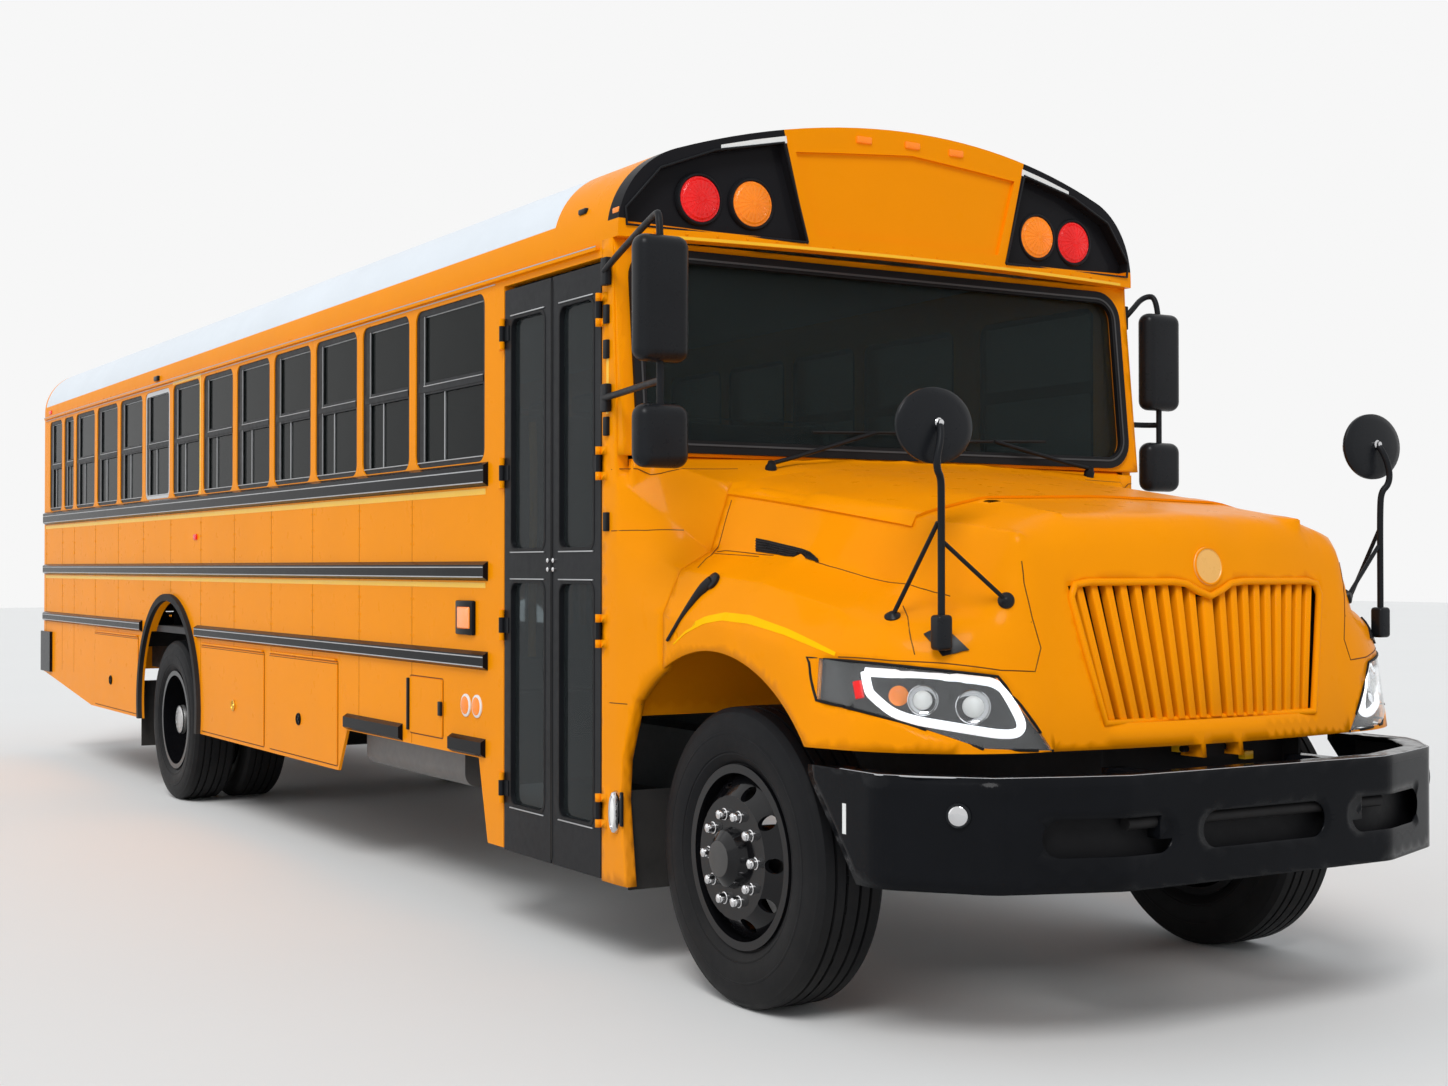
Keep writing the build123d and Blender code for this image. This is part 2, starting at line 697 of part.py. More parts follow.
def round_holes(x0, x1, axle, count, circle, radius):
    """Holes or studs parallel to the axle, evenly spaced round it."""
    made = []
    for index in range(count):
        angle = 2 * math.pi * index / count
        y = axle + circle * math.cos(angle)
        z = TYRE_RADIUS + circle * math.sin(angle)
        made.append(rod((x0, y, z), (x1, y, z), radius))
    return made


def front_wheel():
    """The +X front rim with its dished disc, nuts and hub."""
    x = FRONT_TYRE_OUTER - TYRE_WIDTH / 2
    inner = RIM_RADIUS - BARREL
    disc = [
        (60.0, inner + 2), (60.0 + DISC_THICK, inner + 2), (DISC_OUT, 200.0), (DISC_OUT, SPINDLE_R + PIN_GAP),
        (DISC_OUT - DISC_THICK, SPINDLE_R + PIN_GAP), (DISC_OUT - DISC_THICK, 195.0),
    ]
    wheel = rim_barrel(x, 0) + turned(disc, x, 0)
    for hole in round_holes(x, x + DISC_OUT + 20, 0, HAND_HOLES, HAND_HOLE_PLACE, HAND_HOLE_R):
        wheel -= hole
    hub = [
        (-70.0, SPINDLE_R + PIN_GAP), (-70.0, 95.0), (DISC_OUT, HUB_R - 20), (DISC_OUT + 30, HUB_R - 30),
        (DISC_OUT + 52, 60.0), (DISC_OUT + 52, 0.0), (DISC_OUT + 20, 0.0), (DISC_OUT + 20, SPINDLE_R + PIN_GAP),
    ]
    wheel += turned(hub, x, 0)
    for nut in round_holes(x + DISC_OUT - 2, x + DISC_OUT + NUT_LENGTH, 0, NUT_COUNT, NUT_CIRCLE, NUT_R):
        wheel += nut
    return wheel


def rear_wheels():
    """The +X pair of rear rims, their discs back to back, on one hub."""
    outer_x = REAR_TYRE_OUTER - TYRE_WIDTH / 2
    inner_x = outer_x - TWIN_SPACING
    barrel = RIM_RADIUS - BARREL
    span = TWIN_SPACING / 2
    wheels = rim_barrel(outer_x, WHEELBASE) + rim_barrel(inner_x, WHEELBASE)
    disc = [
        (span - 75, barrel + 2), (span - 60, barrel + 2), (DISC_THICK, 205.0), (DISC_THICK, AXLE_CASE_R),
        (-DISC_THICK, AXLE_CASE_R), (-DISC_THICK, 205.0), (60 - span, barrel + 2), (75 - span, barrel + 2),
        (0, 215.0),
    ]
    wheels += turned(disc, TWIN_MID, WHEELBASE)
    for hole in round_holes(TWIN_MID - span, TWIN_MID + span, WHEELBASE, HAND_HOLES, HAND_HOLE_PLACE, HAND_HOLE_R):
        wheels -= hole
    hub = [
        (-70.0, SPINDLE_R + PIN_GAP), (-70.0, 110.0), (0.0, HUB_R), (150.0, HUB_R - 10), (190.0, 95.0),
        (250.0, 85.0), (250.0, 0.0), (230.0, 0.0), (230.0, SPINDLE_R + PIN_GAP),
    ]
    wheels += turned(hub, TWIN_MID, WHEELBASE)
    for nut in round_holes(TWIN_MID, TWIN_MID + DISC_THICK + NUT_LENGTH, WHEELBASE, NUT_COUNT, NUT_CIRCLE, NUT_R):
        wheels += nut
    return wheels


left_front = front_wheel()
node("front_rim_left", left_front)
node("front_rim_right", mirror(left_front, Plane.YZ))
left_rear = rear_wheels()
node("rear_rims_left", left_rear)
node("rear_rims_right", mirror(left_rear, Plane.YZ))
front_tyre = tyre(FRONT_TYRE_OUTER - TYRE_WIDTH / 2, 0)
node("front_tyre_left", front_tyre)
node("front_tyre_right", mirror(front_tyre, Plane.YZ))
twin_places = (REAR_TYRE_OUTER - TYRE_WIDTH / 2, REAR_TYRE_OUTER - TYRE_WIDTH / 2 - TWIN_SPACING)
twins = [tyre(x, WHEELBASE) for x in twin_places]
node("rear_tyres_left", *twins)
node("rear_tyres_right", *[mirror(twin, Plane.YZ) for twin in twins])

# Steering: knuckles on their kingpins and the tie rod behind the axle
LUG = 40.0
LUG_GAP = 1.0
ARM_BACK = 200.0
ARM_WIDE = 50.0
STUD_R = 12.0
ROD_R = 15.0
ROD_Z = 368.0
ROD_EYE = 28.0


def knuckle():
    """The +X knuckle: forked lugs, kingpin, spindle and steering arm."""
    z = TYRE_RADIUS
    x = KINGPIN_X
    low = z - EYE_HALF - LUG_GAP
    high = z + EYE_HALF + LUG_GAP
    part = rod((x, 0, low - LUG), (x, 0, low), EYE_R) + rod((x, 0, high), (x, 0, high + LUG), EYE_R)
    part += block(x, x + 85, -EYE_R + 5, EYE_R - 5, low - LUG, low)
    part += block(x, x + 85, -EYE_R + 5, EYE_R - 5, high, high + LUG)
    part += block(x + EYE_R + 8, x + 85, -EYE_R + 5, EYE_R - 5, low - LUG, high + LUG)
    part += rod((x, 0, low - LUG), (x, 0, high + LUG), KING_R)
    part += rod((x + 60, 0, z), (SPINDLE_END + 60, 0, z), SPINDLE_R)
    part += block(x - ARM_WIDE / 2, x + ARM_WIDE / 2, 0, ARM_BACK, low - LUG, low - LUG / 2)
    part += rod((x, ARM_BACK, low - LUG), (x, ARM_BACK, low - LUG / 2), ROD_EYE)
    part += rod((x, ARM_BACK, ROD_Z - ROD_EYE), (x, ARM_BACK, low - LUG), STUD_R)
    return part


left_knuckle = knuckle()
node("knuckle_left", left_knuckle)
node("knuckle_right", mirror(left_knuckle, Plane.YZ))


def tie_rod():
    """A bar with an eye over each arm's stud."""
    part = rod((-KINGPIN_X, ARM_BACK, ROD_Z), (KINGPIN_X, ARM_BACK, ROD_Z), ROD_R)
    for side in (-1, 1):
        x = side * KINGPIN_X
        part += rod((x, ARM_BACK, ROD_Z - ROD_R - 1), (x, ARM_BACK, ROD_Z + ROD_R + 1), ROD_EYE)
    for side in (-1, 1):
        x = side * KINGPIN_X
        part -= rod((x, ARM_BACK, ROD_Z - 100), (x, ARM_BACK, ROD_Z + 100), STUD_R + PIN_GAP)
    return part


node("tie_rod", tie_rod())
node("leaf_springs", *both(front_spring), *both(rear_spring))

# Bumpers
BUMPER_END_TOP = -430.0
BUMPER_END_LOW = -700.0


def bumper_plan():
    """Half round-nosed outline seen from above."""
    front = -FRONT_OVERHANG
    points = [
        (-BUMPER_HALF, BUMPER_END_TOP), (-BUMPER_HALF, -800.0), (-930.0, -1060.0), (-560.0, front),
        (560.0, front), (930.0, -1060.0), (BUMPER_HALF, -800.0), (BUMPER_HALF, BUMPER_END_TOP),
    ]
    face = outline(points)
    corners = [v for v in face.vertices() if v.Y < -700.0]
    return fillet(corners, 160.0)


def front_bumper():
    """A bent steel channel with swept ends and three slots in its face."""
    plan = bumper_plan()
    rear_strip = Pos(0, BUMPER_END_TOP) * Rectangle(4 * BUMPER_HALF, 2 * BUMPER_FLANGE)
    skin = upright(plan - offset(plan, -BUMPER_STEEL) - rear_strip, BUMPER_LOW, BUMPER_TOP)
    skin += upright(plan - offset(plan, -BUMPER_STEEL), BUMPER_LOW, BUMPER_TOP) & block(
        -BUMPER_HALF, BUMPER_HALF, BUMPER_END_TOP - BUMPER_FLANGE, BUMPER_END_TOP - BUMPER_STEEL - 1, 0, BUMPER_TOP)
    ring = plan - offset(plan, -BUMPER_FLANGE) - rear_strip
    skin += upright(ring, BUMPER_TOP - BUMPER_STEEL, BUMPER_TOP)
    skin += upright(ring, BUMPER_LOW, BUMPER_LOW + BUMPER_STEEL)
    slant = outline([
        (BUMPER_END_LOW, BUMPER_LOW - 10), (BUMPER_END_TOP + 20, BUMPER_TOP + 1), (0, BUMPER_TOP + 1),
        (0, BUMPER_LOW - 10),
    ])
    skin -= across(slant, -2 * BUMPER_HALF, 2 * BUMPER_HALF)
    middle = (BUMPER_LOW + BUMPER_TOP) / 2 - 10
    for x, width in ((0.0, 520.0), (-590.0, 420.0), (590.0, 420.0)):
        slot = Pos(x, middle) * SlotOverall(width, 110.0)
        skin -= along(slot, -FRONT_OVERHANG - 50, -FRONT_OVERHANG + 190)
    for side in (-1, 1):
        x0 = side * (FRAME_HALF - FRAME_FLANGE)
        x1 = side * FRAME_HALF
        skin += block(x0, x1, -FRONT_OVERHANG + BUMPER_STEEL / 2, FRAME_FRONT, BUMPER_TOP - 190, BUMPER_TOP - 4)
    return skin


node("front_bumper", front_bumper())


def rear_bumper():
    """A bumper wrapped round the rear corners."""
    outer = Pos(0, 9812.0 + (BODY_END + REAR_BUMPER_PROUD - 9812.0) / 2) * Rectangle(
        2 * (BODY_HALF + 21), BODY_END + REAR_BUMPER_PROUD - 9812.0)
    corners = [v for v in outer.vertices() if v.Y > BODY_END]
    outer = fillet(corners, 20.0)
    inner = Pos(0, (9700.0 + BODY_END + SEAT_GAP) / 2) * Rectangle(
        2 * (BODY_HALF + SEAT_GAP), BODY_END + SEAT_GAP - 9700.0)
    return upright(outer - inner, REAR_BUMPER_LOW, REAR_BUMPER_TOP)


node("rear_bumper", rear_bumper())

# Fuel tank with its hangers, and the exhaust
TANK = (500.0, 1150.0, 2150.0, 3300.0, 500.0, 890.0)
tank = mirror(block(*TANK), Plane.YZ)
tank = fillet(tank.edges().filter_by(Axis.Y), 60.0)
for y in (2350.0, 3050.0):
    tank += mirror(block(FRAME_HALF + SEAT_GAP, TANK[0] + 5, y, y + 60, 700, 880), Plane.YZ)
node("fuel_tank", tank)

MUFFLER = (650.0, 2400.0, 3500.0, 620.0, 120.0)


def exhaust():
    """Pipe from the engine to a silencer and out to the left side before the rear wheels."""
    x, y0, y1, z, radius = MUFFLER
    front = tube_path([(250, 300, ENGINE[4] - SEAT_GAP), (250, 300, 540), (330, 1200, 540), (x, 1900, z), (x, y0 + 10, z)],
                      50.0, 50.0)
    rear = tube_path([(x, y1 - 10, z), (x, 5300, z), (1100, 5480, 560)], 45.0, 100.0)
    hanger = block(FRAME_HALF + SEAT_GAP, x, 2900, 2960, z - 20, z + 60)
    return rod((x, y0, z), (x, y1, z), radius) + front + rear + hanger


node("exhaust", exhaust())

# Hood stations. Columns: place, crown Z, ridge X, ridge Z, shoulder X, shoulder Z, seam X, seam Z,
# fender top X, fender top Z, fender side X, fender side Z
HOOD_STATIONS = [
    (370.0, 1785.0, 540.0, 1772.0, 930.0, 1715.0, 1010.0, 1485.0, 1130.0, 1420.0, 1200.0, 1270.0),
    (-100.0, 1722.0, 533.0, 1706.0, 880.0, 1650.0, 950.0, 1455.0, 1100.0, 1380.0, 1192.0, 1230.0),
    (-550.0, 1652.0, 515.0, 1640.0, 780.0, 1580.0, 840.0, 1370.0, 1060.0, 1290.0, 1175.0, 1160.0),
    (-1060.0, 1570.0, 490.0, 1560.0, 650.0, 1500.0, 720.0, 1250.0, 950.0, 1170.0, 1130.0, 1090.0),
]
# The body's section where the cowl meets the front post, same columns
COWL_REAR = (670.0, 1836.0, 540.0, 1834.0, 1130.0, 1832.0, 1219.0, 1740.0, 1219.0, 1500.0, 1219.0, 1300.0)


def section_wire(station, inset, low):
    """One cross-section of the hood or cowl, set in all round."""
    place, crown, *pairs = station
    half = [(pairs[i] - inset, pairs[i + 1] - inset) for i in range(0, len(pairs), 2)]
    half.append((half[-1][0], low))
    points = [(-x, z) for x, z in reversed(half)] + [(0, crown - inset)] + half
    wire = Polyline(*points, close=True)
    return Plane.XZ.offset(-back(place)) * make_face(wire)


def hood_body(inset, low, rear=0.0):
    """The loft through the hood's stations, lengthened at the rear."""
    sections = [section_wire(station, inset, low) for station in HOOD_STATIONS]
    if rear:
        first = (HOOD_STATIONS[0][0] + rear,) + HOOD_STATIONS[0][1:]
        sections.insert(0, section_wire(first, inset, low))
    return loft(sections, ruled=True)


# Nose outline seen from above at two heights. Columns: height, then the bow's reach at the centre line, at the
# grille's edge, at the lamp's corner and at the fender's side
NOSE_PLANS = [
    (800.0, [(0.0, -1036.0), (640.0, -980.0), (950.0, -880.0), (1140.0, -630.0), (1250.0, -250.0)]),
    (1700.0, [(0.0, -935.0), (560.0, -890.0), (850.0, -800.0), (1080.0, -560.0), (1250.0, -150.0)]),
]


def nose_body(inset):
    """Everything behind the nose's bowed face."""
    faces = []
    for height, reach in NOSE_PLANS:
        (x0, y0), (x1, y1), (x2, y2), (x3, y3), (x4, y4) = [(x - inset, y + inset) for x, y in reach]
        x0 = 0.0
        arc = ThreePointArc((-x1, y1), (x0, y0), (x1, y1))
        right = ThreePointArc((x1, y1), (x2, y2), (x3, y3))
        left = ThreePointArc((-x3, y3), (-x2, y2), (-x1, y1))
        rear = Polyline((x3, y3), (x4, y4), (x4, HOOD_REAR + 200), (-x4, HOOD_REAR + 200), (-x4, y4), (-x3, y3))
        face = make_face([left, arc, right, rear])
        faces.append(Plane.XY.offset(height) * (Pos(0, FRONT_AXLE_Y) * face))
    return loft(faces, ruled=True)


hood_outer = (hood_body(0, HOOD_LOW) & nose_body(0)) - wheel_arch(FRONT_ARCH, 0, -1300, 1300)
hood_inner = hood_body(HOOD_WALL, HOOD_LOW - 50, rear=100.0) & nose_body(HOOD_WALL)
hood_shell = hood_outer - hood_inner

# Grille opening and lamp openings, seen from the front
GRILLE_OPENING = [(449.0, 960.0), (544.0, 1372.0), (470.0, 1384.0), (120.0, 1384.0), (0.0, 1340.0)]
LAMP_OPENING = [(640.0, 888.0), (860.0, 900.0), (1125.0, 1010.0), (1200.0, 1040.0), (1200.0, 1160.0), (800.0, 1108.0)]
LAMP_REAR = -500.0
LAMP_DEPTH = 60.0
GRILLE_DEPTH = 40.0


def grille_face(inset):
    """The grille opening with its V at the top."""
    half = GRILLE_OPENING
    full = half + [(-x, z) for x, z in reversed(half[:-1])]
    face = outline(full)
    return offset(face, -inset) if inset else face


def lamp_prism(inset):
    """A cutter along the bus for the +X lamp."""
    face = outline(LAMP_OPENING)
    if inset:
        face = offset(face, -inset)
    return along(face, -FRONT_OVERHANG, LAMP_REAR - inset)


grille_cut = along(grille_face(0), -FRONT_OVERHANG, -700.0)
lamp_cut = lamp_prism(0)
hood_shell = hood_shell - grille_cut - lamp_cut - mirror(lamp_cut, Plane.YZ)
TAB = (14.0, 30.0)
for side in (-1, 1):
    x = side * TAB_X
    tab = block(x - TAB[0] / 2, x + TAB[0] / 2, -FRONT_OVERHANG, TILT_BACK + 26, TILT_Z - 22, HOOD_LOW + 26)
    hood_shell += tab & nose_body(0)
for side in (-1, 1):
    hood_shell -= rod((side * TAB_X - 60, TILT_BACK, TILT_Z), (side * TAB_X + 60, TILT_BACK, TILT_Z),
                      TILT_PIN + PIN_GAP)
node("hood", hood_shell)

# Grille: a frame that fills the opening, upright slats and one broad middle bar
SLATS = 9
SLAT_WIDTH = 24.0
MIDDLE_BAR = 52.0


def grille():
    """Upright slats splayed towards the top, in a frame that follows the nose."""
    front = hood_body(-5, HOOD_LOW) & nose_body(0)
    layer = front - nose_body(GRILLE_DEPTH)
    frame = along(grille_face(1.0) - grille_face(16.0), -FRONT_OVERHANG, -700.0)
    low_z = GRILLE_OPENING[0][1]
    top_z = GRILLE_OPENING[2][1] + 10
    bars = along(outline([(-MIDDLE_BAR / 2, low_z), (MIDDLE_BAR / 2, low_z), (MIDDLE_BAR * 0.7, top_z),
                          (-MIDDLE_BAR * 0.7, top_z)]), -FRONT_OVERHANG, -700.0)
    step_low = (GRILLE_OPENING[0][0] - MIDDLE_BAR / 2) / (SLATS + 0.5)
    step_top = (GRILLE_OPENING[1][0] - MIDDLE_BAR / 2) / (SLATS + 0.5)
    for index in range(1, SLATS + 1):
        x_low = MIDDLE_BAR / 2 + step_low * (index - 0.25)
        x_top = MIDDLE_BAR / 2 + step_top * (index - 0.25)
        slat = outline([(x_low - SLAT_WIDTH / 2, low_z), (x_low + SLAT_WIDTH / 2, low_z),
                        (x_top + SLAT_WIDTH / 2, top_z), (x_top - SLAT_WIDTH / 2, top_z)])
        bar = along(slat, -FRONT_OVERHANG, -700.0)
        bars = bars + bar + mirror(bar, Plane.YZ)
    field = along(grille_face(1.0), -FRONT_OVERHANG, -700.0)
    return layer & (frame + (bars & field))


node("grille", grille())
lamp = ((hood_body(0, HOOD_LOW) & nose_body(0)) - nose_body(LAMP_DEPTH)) & lamp_prism(1.0)
node("headlamps", *both(lamp))

# Crossview mirrors on poles above the headlamps
POLE_X = 950.0
POLE_Y = -840.0
POLE_R = 11.0
MIRROR_Z = 1845.0


def crossview():
    """A domed mirror on a pole with two struts."""
    surface = hood_body(SEAT_GAP * -1, HOOD_LOW)
    pole = rod((POLE_X, POLE_Y, 1120), (POLE_X, POLE_Y, MIRROR_Z - 60), POLE_R)
    foot = block(POLE_X - 45, POLE_X + 45, POLE_Y - 45, POLE_Y + 45, 1120, 1262)
    foot += block(POLE_X - 24, POLE_X + 24, POLE_Y - 24, POLE_Y + 24, 1120, 1330)
    strut_in = rod((740.0, POLE_Y - 60, 1200), (POLE_X, POLE_Y, 1500), 7.0)
    strut_back = rod((1000.0, POLE_Y + 150, 1200), (POLE_X, POLE_Y, 1560), 7.0)
    head = along(Pos(POLE_X, MIRROR_Z) * Ellipse(140.0, 113.0), POLE_Y + 26, POLE_Y + 42)
    rim = Plane.XZ.offset(-back(POLE_Y + 42)) * (Pos(POLE_X, MIRROR_Z) * Ellipse(134.0, 107.0))
    crown = Plane.XZ.offset(-back(POLE_Y + 86)) * (Pos(POLE_X, MIRROR_Z) * Ellipse(60.0, 48.0))
    head += loft([rim, crown])
    neck = rod((POLE_X, POLE_Y, MIRROR_Z - 66), (POLE_X, POLE_Y + 30, MIRROR_Z - 20), POLE_R)
    return (pole + foot + strut_in + strut_back - surface) + head + neck


node("crossview_mirrors", *both(crossview()))

# Cowl: the shell between hood and front posts, with firewall and windscreen frame
COWL_WALL = 40.0
SCREEN_FOOT = 620.0
SCREEN_HEAD = 700.0
SCREEN_DEPTH = 60.0
SCREEN_OPENING = (1130.0, 1868.0, 2545.0)
COWL_FRONT = HOOD_REAR + 7.0
RIGHT_FOOT = 310.0


def cowl():
    """Cowl sides and top, firewall, front posts and windscreen surround in one."""
    front_station = (COWL_FRONT,) + HOOD_STATIONS[0][1:]
    low = RIGHT_FOOT
    outer = loft([section_wire(front_station, 0, low), section_wire(COWL_REAR, 0, low)], ruled=True)
    inner_rear = (COWL_REAR[0] + 1,) + COWL_REAR[1:]
    inner_front = (COWL_FRONT - 1,) + HOOD_STATIONS[0][1:]
    inner = loft([section_wire(inner_front, COWL_WALL, low - 10), section_wire(inner_rear, COWL_WALL, low - 10)],
                 ruled=True)
    shell = outer - inner
    wall_in = BODY_HALF - WALL
    post = across(outline([
        (SCREEN_FOOT + 50, RIGHT_FOOT), (DOOR_FRONT - DOOR_GAP, RIGHT_FOOT), (DOOR_FRONT - DOOR_GAP, WALL_TOP),
        (SCREEN_HEAD, WALL_TOP), (SCREEN_FOOT + 50, COWL_REAR[1] + 130), (SCREEN_FOOT + 50, 1700.0),
    ]), wall_in, BODY_HALF)
    shell += post + mirror(post, Plane.YZ)
    sill = COWL_REAR[1] - 12
    frame = across(outline([
        (SCREEN_FOOT, sill), (SCREEN_HEAD, WALL_TOP), (SCREEN_HEAD + SCREEN_DEPTH, WALL_TOP),
        (SCREEN_FOOT + SCREEN_DEPTH, sill),
    ]), -BODY_HALF + 4, BODY_HALF - 4)
    half, low_z, high_z = SCREEN_OPENING
    opening = Pos(0, (low_z + high_z) / 2) * RectangleRounded(2 * half, high_z - low_z, 90.0)
    frame -= along(opening, SCREEN_FOOT - 50, SCREEN_HEAD + 100)
    firewall = block(-wall_in - 5, wall_in + 5, 620, 655, FRAME_TOP + 5, 1810)
    shell = shell + frame + firewall
    arch = wheel_arch(FRONT_ARCH, 0, -1300, 1300) - block(-1300, 1300, -900, 1000, 0, 960)
    arch += across(outline([(-500, 100), (600, 100), (600, 300), (640, 611), (628, 752), (545, 967), (200, 1000),
                            (-500, 1000)]), -1300, 1300)
    shell -= arch
    left_cut = block(0, 1300, 300, 1000, 0, SKIRT_RAISED)
    return shell - left_cut


node("cowl", cowl())


def windscreen():
    """One pane in the surround, leaning back."""
    half, low_z, high_z = SCREEN_OPENING
    slab = across(outline([
        (SCREEN_FOOT + 20, 1824.0), (SCREEN_HEAD + 20, WALL_TOP), (SCREEN_HEAD + 26, WALL_TOP),
        (SCREEN_FOOT + 26, 1824.0),
    ]), -BODY_HALF, BODY_HALF)
    pane = Pos(0, (low_z + high_z) / 2) * RectangleRounded(
        2 * (half - SEAT_GAP), high_z - low_z - 2 * SEAT_GAP, 90.0 - SEAT_GAP)
    return slab & along(pane, SCREEN_FOOT - 50, SCREEN_HEAD + 100)


node("windscreen", windscreen(), rear_pane, mirror(rear_pane, Plane.YZ))

# Dashboard against the firewall, and the steering wheel on its column
DASH_FACE = 655.0 + SEAT_GAP
WHEEL_PLACE = (670.0, 960.0, 1700.0)
WHEEL_TILT = 35.0
dash = across(outline([
    (DASH_FACE, 1450.0), (DASH_FACE + 120, 1450.0), (DASH_FACE + 190, 1600.0), (DASH_FACE + 150, 1745.0),
    (DASH_FACE + 10, 1770.0), (DASH_FACE, 1770.0),
]), -520.0, 1060.0)
node("dashboard", dash)


def steering_wheel():
    """Rim, two spokes, boss and column."""
    x, y, z = WHEEL_PLACE
    lean = math.radians(WHEEL_TILT)
    column_end = (x, y - 190 * math.cos(lean), z - 190 * math.sin(lean))
    plane = Plane(origin=(x, back(y), z), z_dir=(0, math.cos(lean), math.sin(lean)))
    part = plane * Torus(215.0, 14.0)
    part += rod((x, y, z), column_end, 28.0)
    part += plane * Cylinder(50.0, 30.0)
    part += plane * Box(420.0, 26.0, 14.0)
    return part


node("steering_wheel", steering_wheel() - dash)

# Entrance door: two leaves hinged at their outer edges
LEAF_THICK = 40.0
LEAF_OUT = BODY_HALF
LEAF_LOW = 316.0
LEAF_MID = 1188.0
HINGE_OUT = 12.0
HINGE_R = 11.0
HINGE_HALF = 30.0
HINGES = (560.0, 1200.0, 1800.0, 2350.0)
LEAF_STILE = 62.0
LEAF_LIGHTS = ((504.0, 1367.0), (1502.0, 2400.0))


def door_leaf(front, rear, hinge):
    """One leaf on the -X side with two lights, and its hinge barrels and straps."""
    leaf = block(-LEAF_OUT, -LEAF_OUT + LEAF_THICK, front, rear, LEAF_LOW, DOOR_TOP)
    for low, high in LEAF_LIGHTS:
        light = rounded_opening(front + LEAF_STILE, rear - LEAF_STILE, low, high, 0, 40.0)
        leaf -= across(light, -LEAF_OUT, -LEAF_OUT + LEAF_THICK)
    reach = 46.0 if rear > hinge + 50 else -46.0
    for z in HINGES:
        barrel = rod((-BODY_HALF - HINGE_OUT, hinge, z - HINGE_HALF), (-BODY_HALF - HINGE_OUT, hinge, z + HINGE_HALF),
                     HINGE_R)
        leaf += barrel + block(-BODY_HALF - 5, -BODY_HALF, hinge, hinge + reach, z - HINGE_HALF, z + HINGE_HALF)
    for z in HINGES:
        leaf -= rod((-BODY_HALF - HINGE_OUT, hinge, z - 50), (-BODY_HALF - HINGE_OUT, hinge, z + 50), 5.0 + PIN_GAP)
    return leaf


def hinge_pins(hinge, reach, places):
    """Barrels above and below each leaf barrel, their pin and their strap on the post."""
    pins = []
    x = -BODY_HALF - HINGE_OUT
    for z in places:
        pin = rod((x, hinge, z - 2 * HINGE_HALF), (x, hinge, z + 2 * HINGE_HALF), 5.0)
        for low in (z - 2 * HINGE_HALF, z + HINGE_HALF + 1):
            pin += rod((x, hinge, low), (x, hinge, low + HINGE_HALF - 1), HINGE_R)
            pin += block(-BODY_HALF - 5, -BODY_HALF, hinge, hinge + reach, low, low + HINGE_HALF - 1)
        pins.append(pin)
    return pins


FRONT_LEAF = (DOOR_FRONT + DOOR_GAP - 1, LEAF_MID - 6)
REAR_LEAF = (LEAF_MID + 6, DOOR_REAR - DOOR_GAP + 1)
node("entry_leaf_front", door_leaf(*FRONT_LEAF, DOOR_FRONT))
node("entry_leaf_rear", door_leaf(*REAR_LEAF, DOOR_REAR))


def leaf_glass(front, rear):
    """The two panes of one leaf."""
    panes = []
    for low, high in LEAF_LIGHTS:
        face = rounded_opening(front + LEAF_STILE, rear - LEAF_STILE, low, high, SEAT_GAP, 40.0 - SEAT_GAP)
        middle = -LEAF_OUT + LEAF_THICK / 2
        panes.append(across(face, middle - PANE / 2, middle + PANE / 2))
    return panes


node("entry_glass_front", *leaf_glass(*FRONT_LEAF))
node("entry_glass_rear", *leaf_glass(*REAR_LEAF))
front_pins = hinge_pins(DOOR_FRONT, -46.0, HINGES)
cowl_solid = NODES["cowl"][0]
for pin in front_pins:
    cowl_solid = cowl_solid + pin
node("cowl", cowl_solid)
rear_pins = hinge_pins(DOOR_REAR, 46.0, HINGES)
wall_solid = NODES["side_wall_right"][0]
for pin in rear_pins:
    wall_solid = wall_solid + pin
node("side_wall_right", wall_solid)

# Rear emergency door, hinged on its -X edge
EXIT_GAP = 6.0
EXIT_HINGE_X = -REAR_DOOR_HALF
EXIT_LIGHTS = ((1180.0, 1620.0), (1780.0, 2460.0))
EXIT_HINGES = (1300.0, 1800.0, 2300.0)


def rear_door():
    """The door leaf with an upper and a lower light."""
    half = REAR_DOOR_HALF - EXIT_GAP
    leaf = block(-half, half, WALL_END, BODY_END, REAR_DOOR_LOW + EXIT_GAP, REAR_DOOR_TOP - EXIT_GAP)
    for low, high in EXIT_LIGHTS:
        light = Pos(0, (low + high) / 2) * RectangleRounded(2 * (half - 90), high - low, 50.0)
        leaf -= along(light, WALL_END, BODY_END)
    for z in EXIT_HINGES:
        leaf += rod((EXIT_HINGE_X, BODY_END + HINGE_OUT, z - HINGE_HALF), (EXIT_HINGE_X, BODY_END + HINGE_OUT, z + HINGE_HALF),
                    HINGE_R)
        leaf += block(EXIT_HINGE_X, EXIT_HINGE_X + 60, BODY_END, BODY_END + 6, z - HINGE_HALF, z + HINGE_HALF)
    for z in EXIT_HINGES:
        leaf -= rod((EXIT_HINGE_X, BODY_END + HINGE_OUT, z - 50), (EXIT_HINGE_X, BODY_END + HINGE_OUT, z + 50), 5.0 + PIN_GAP)
    return leaf


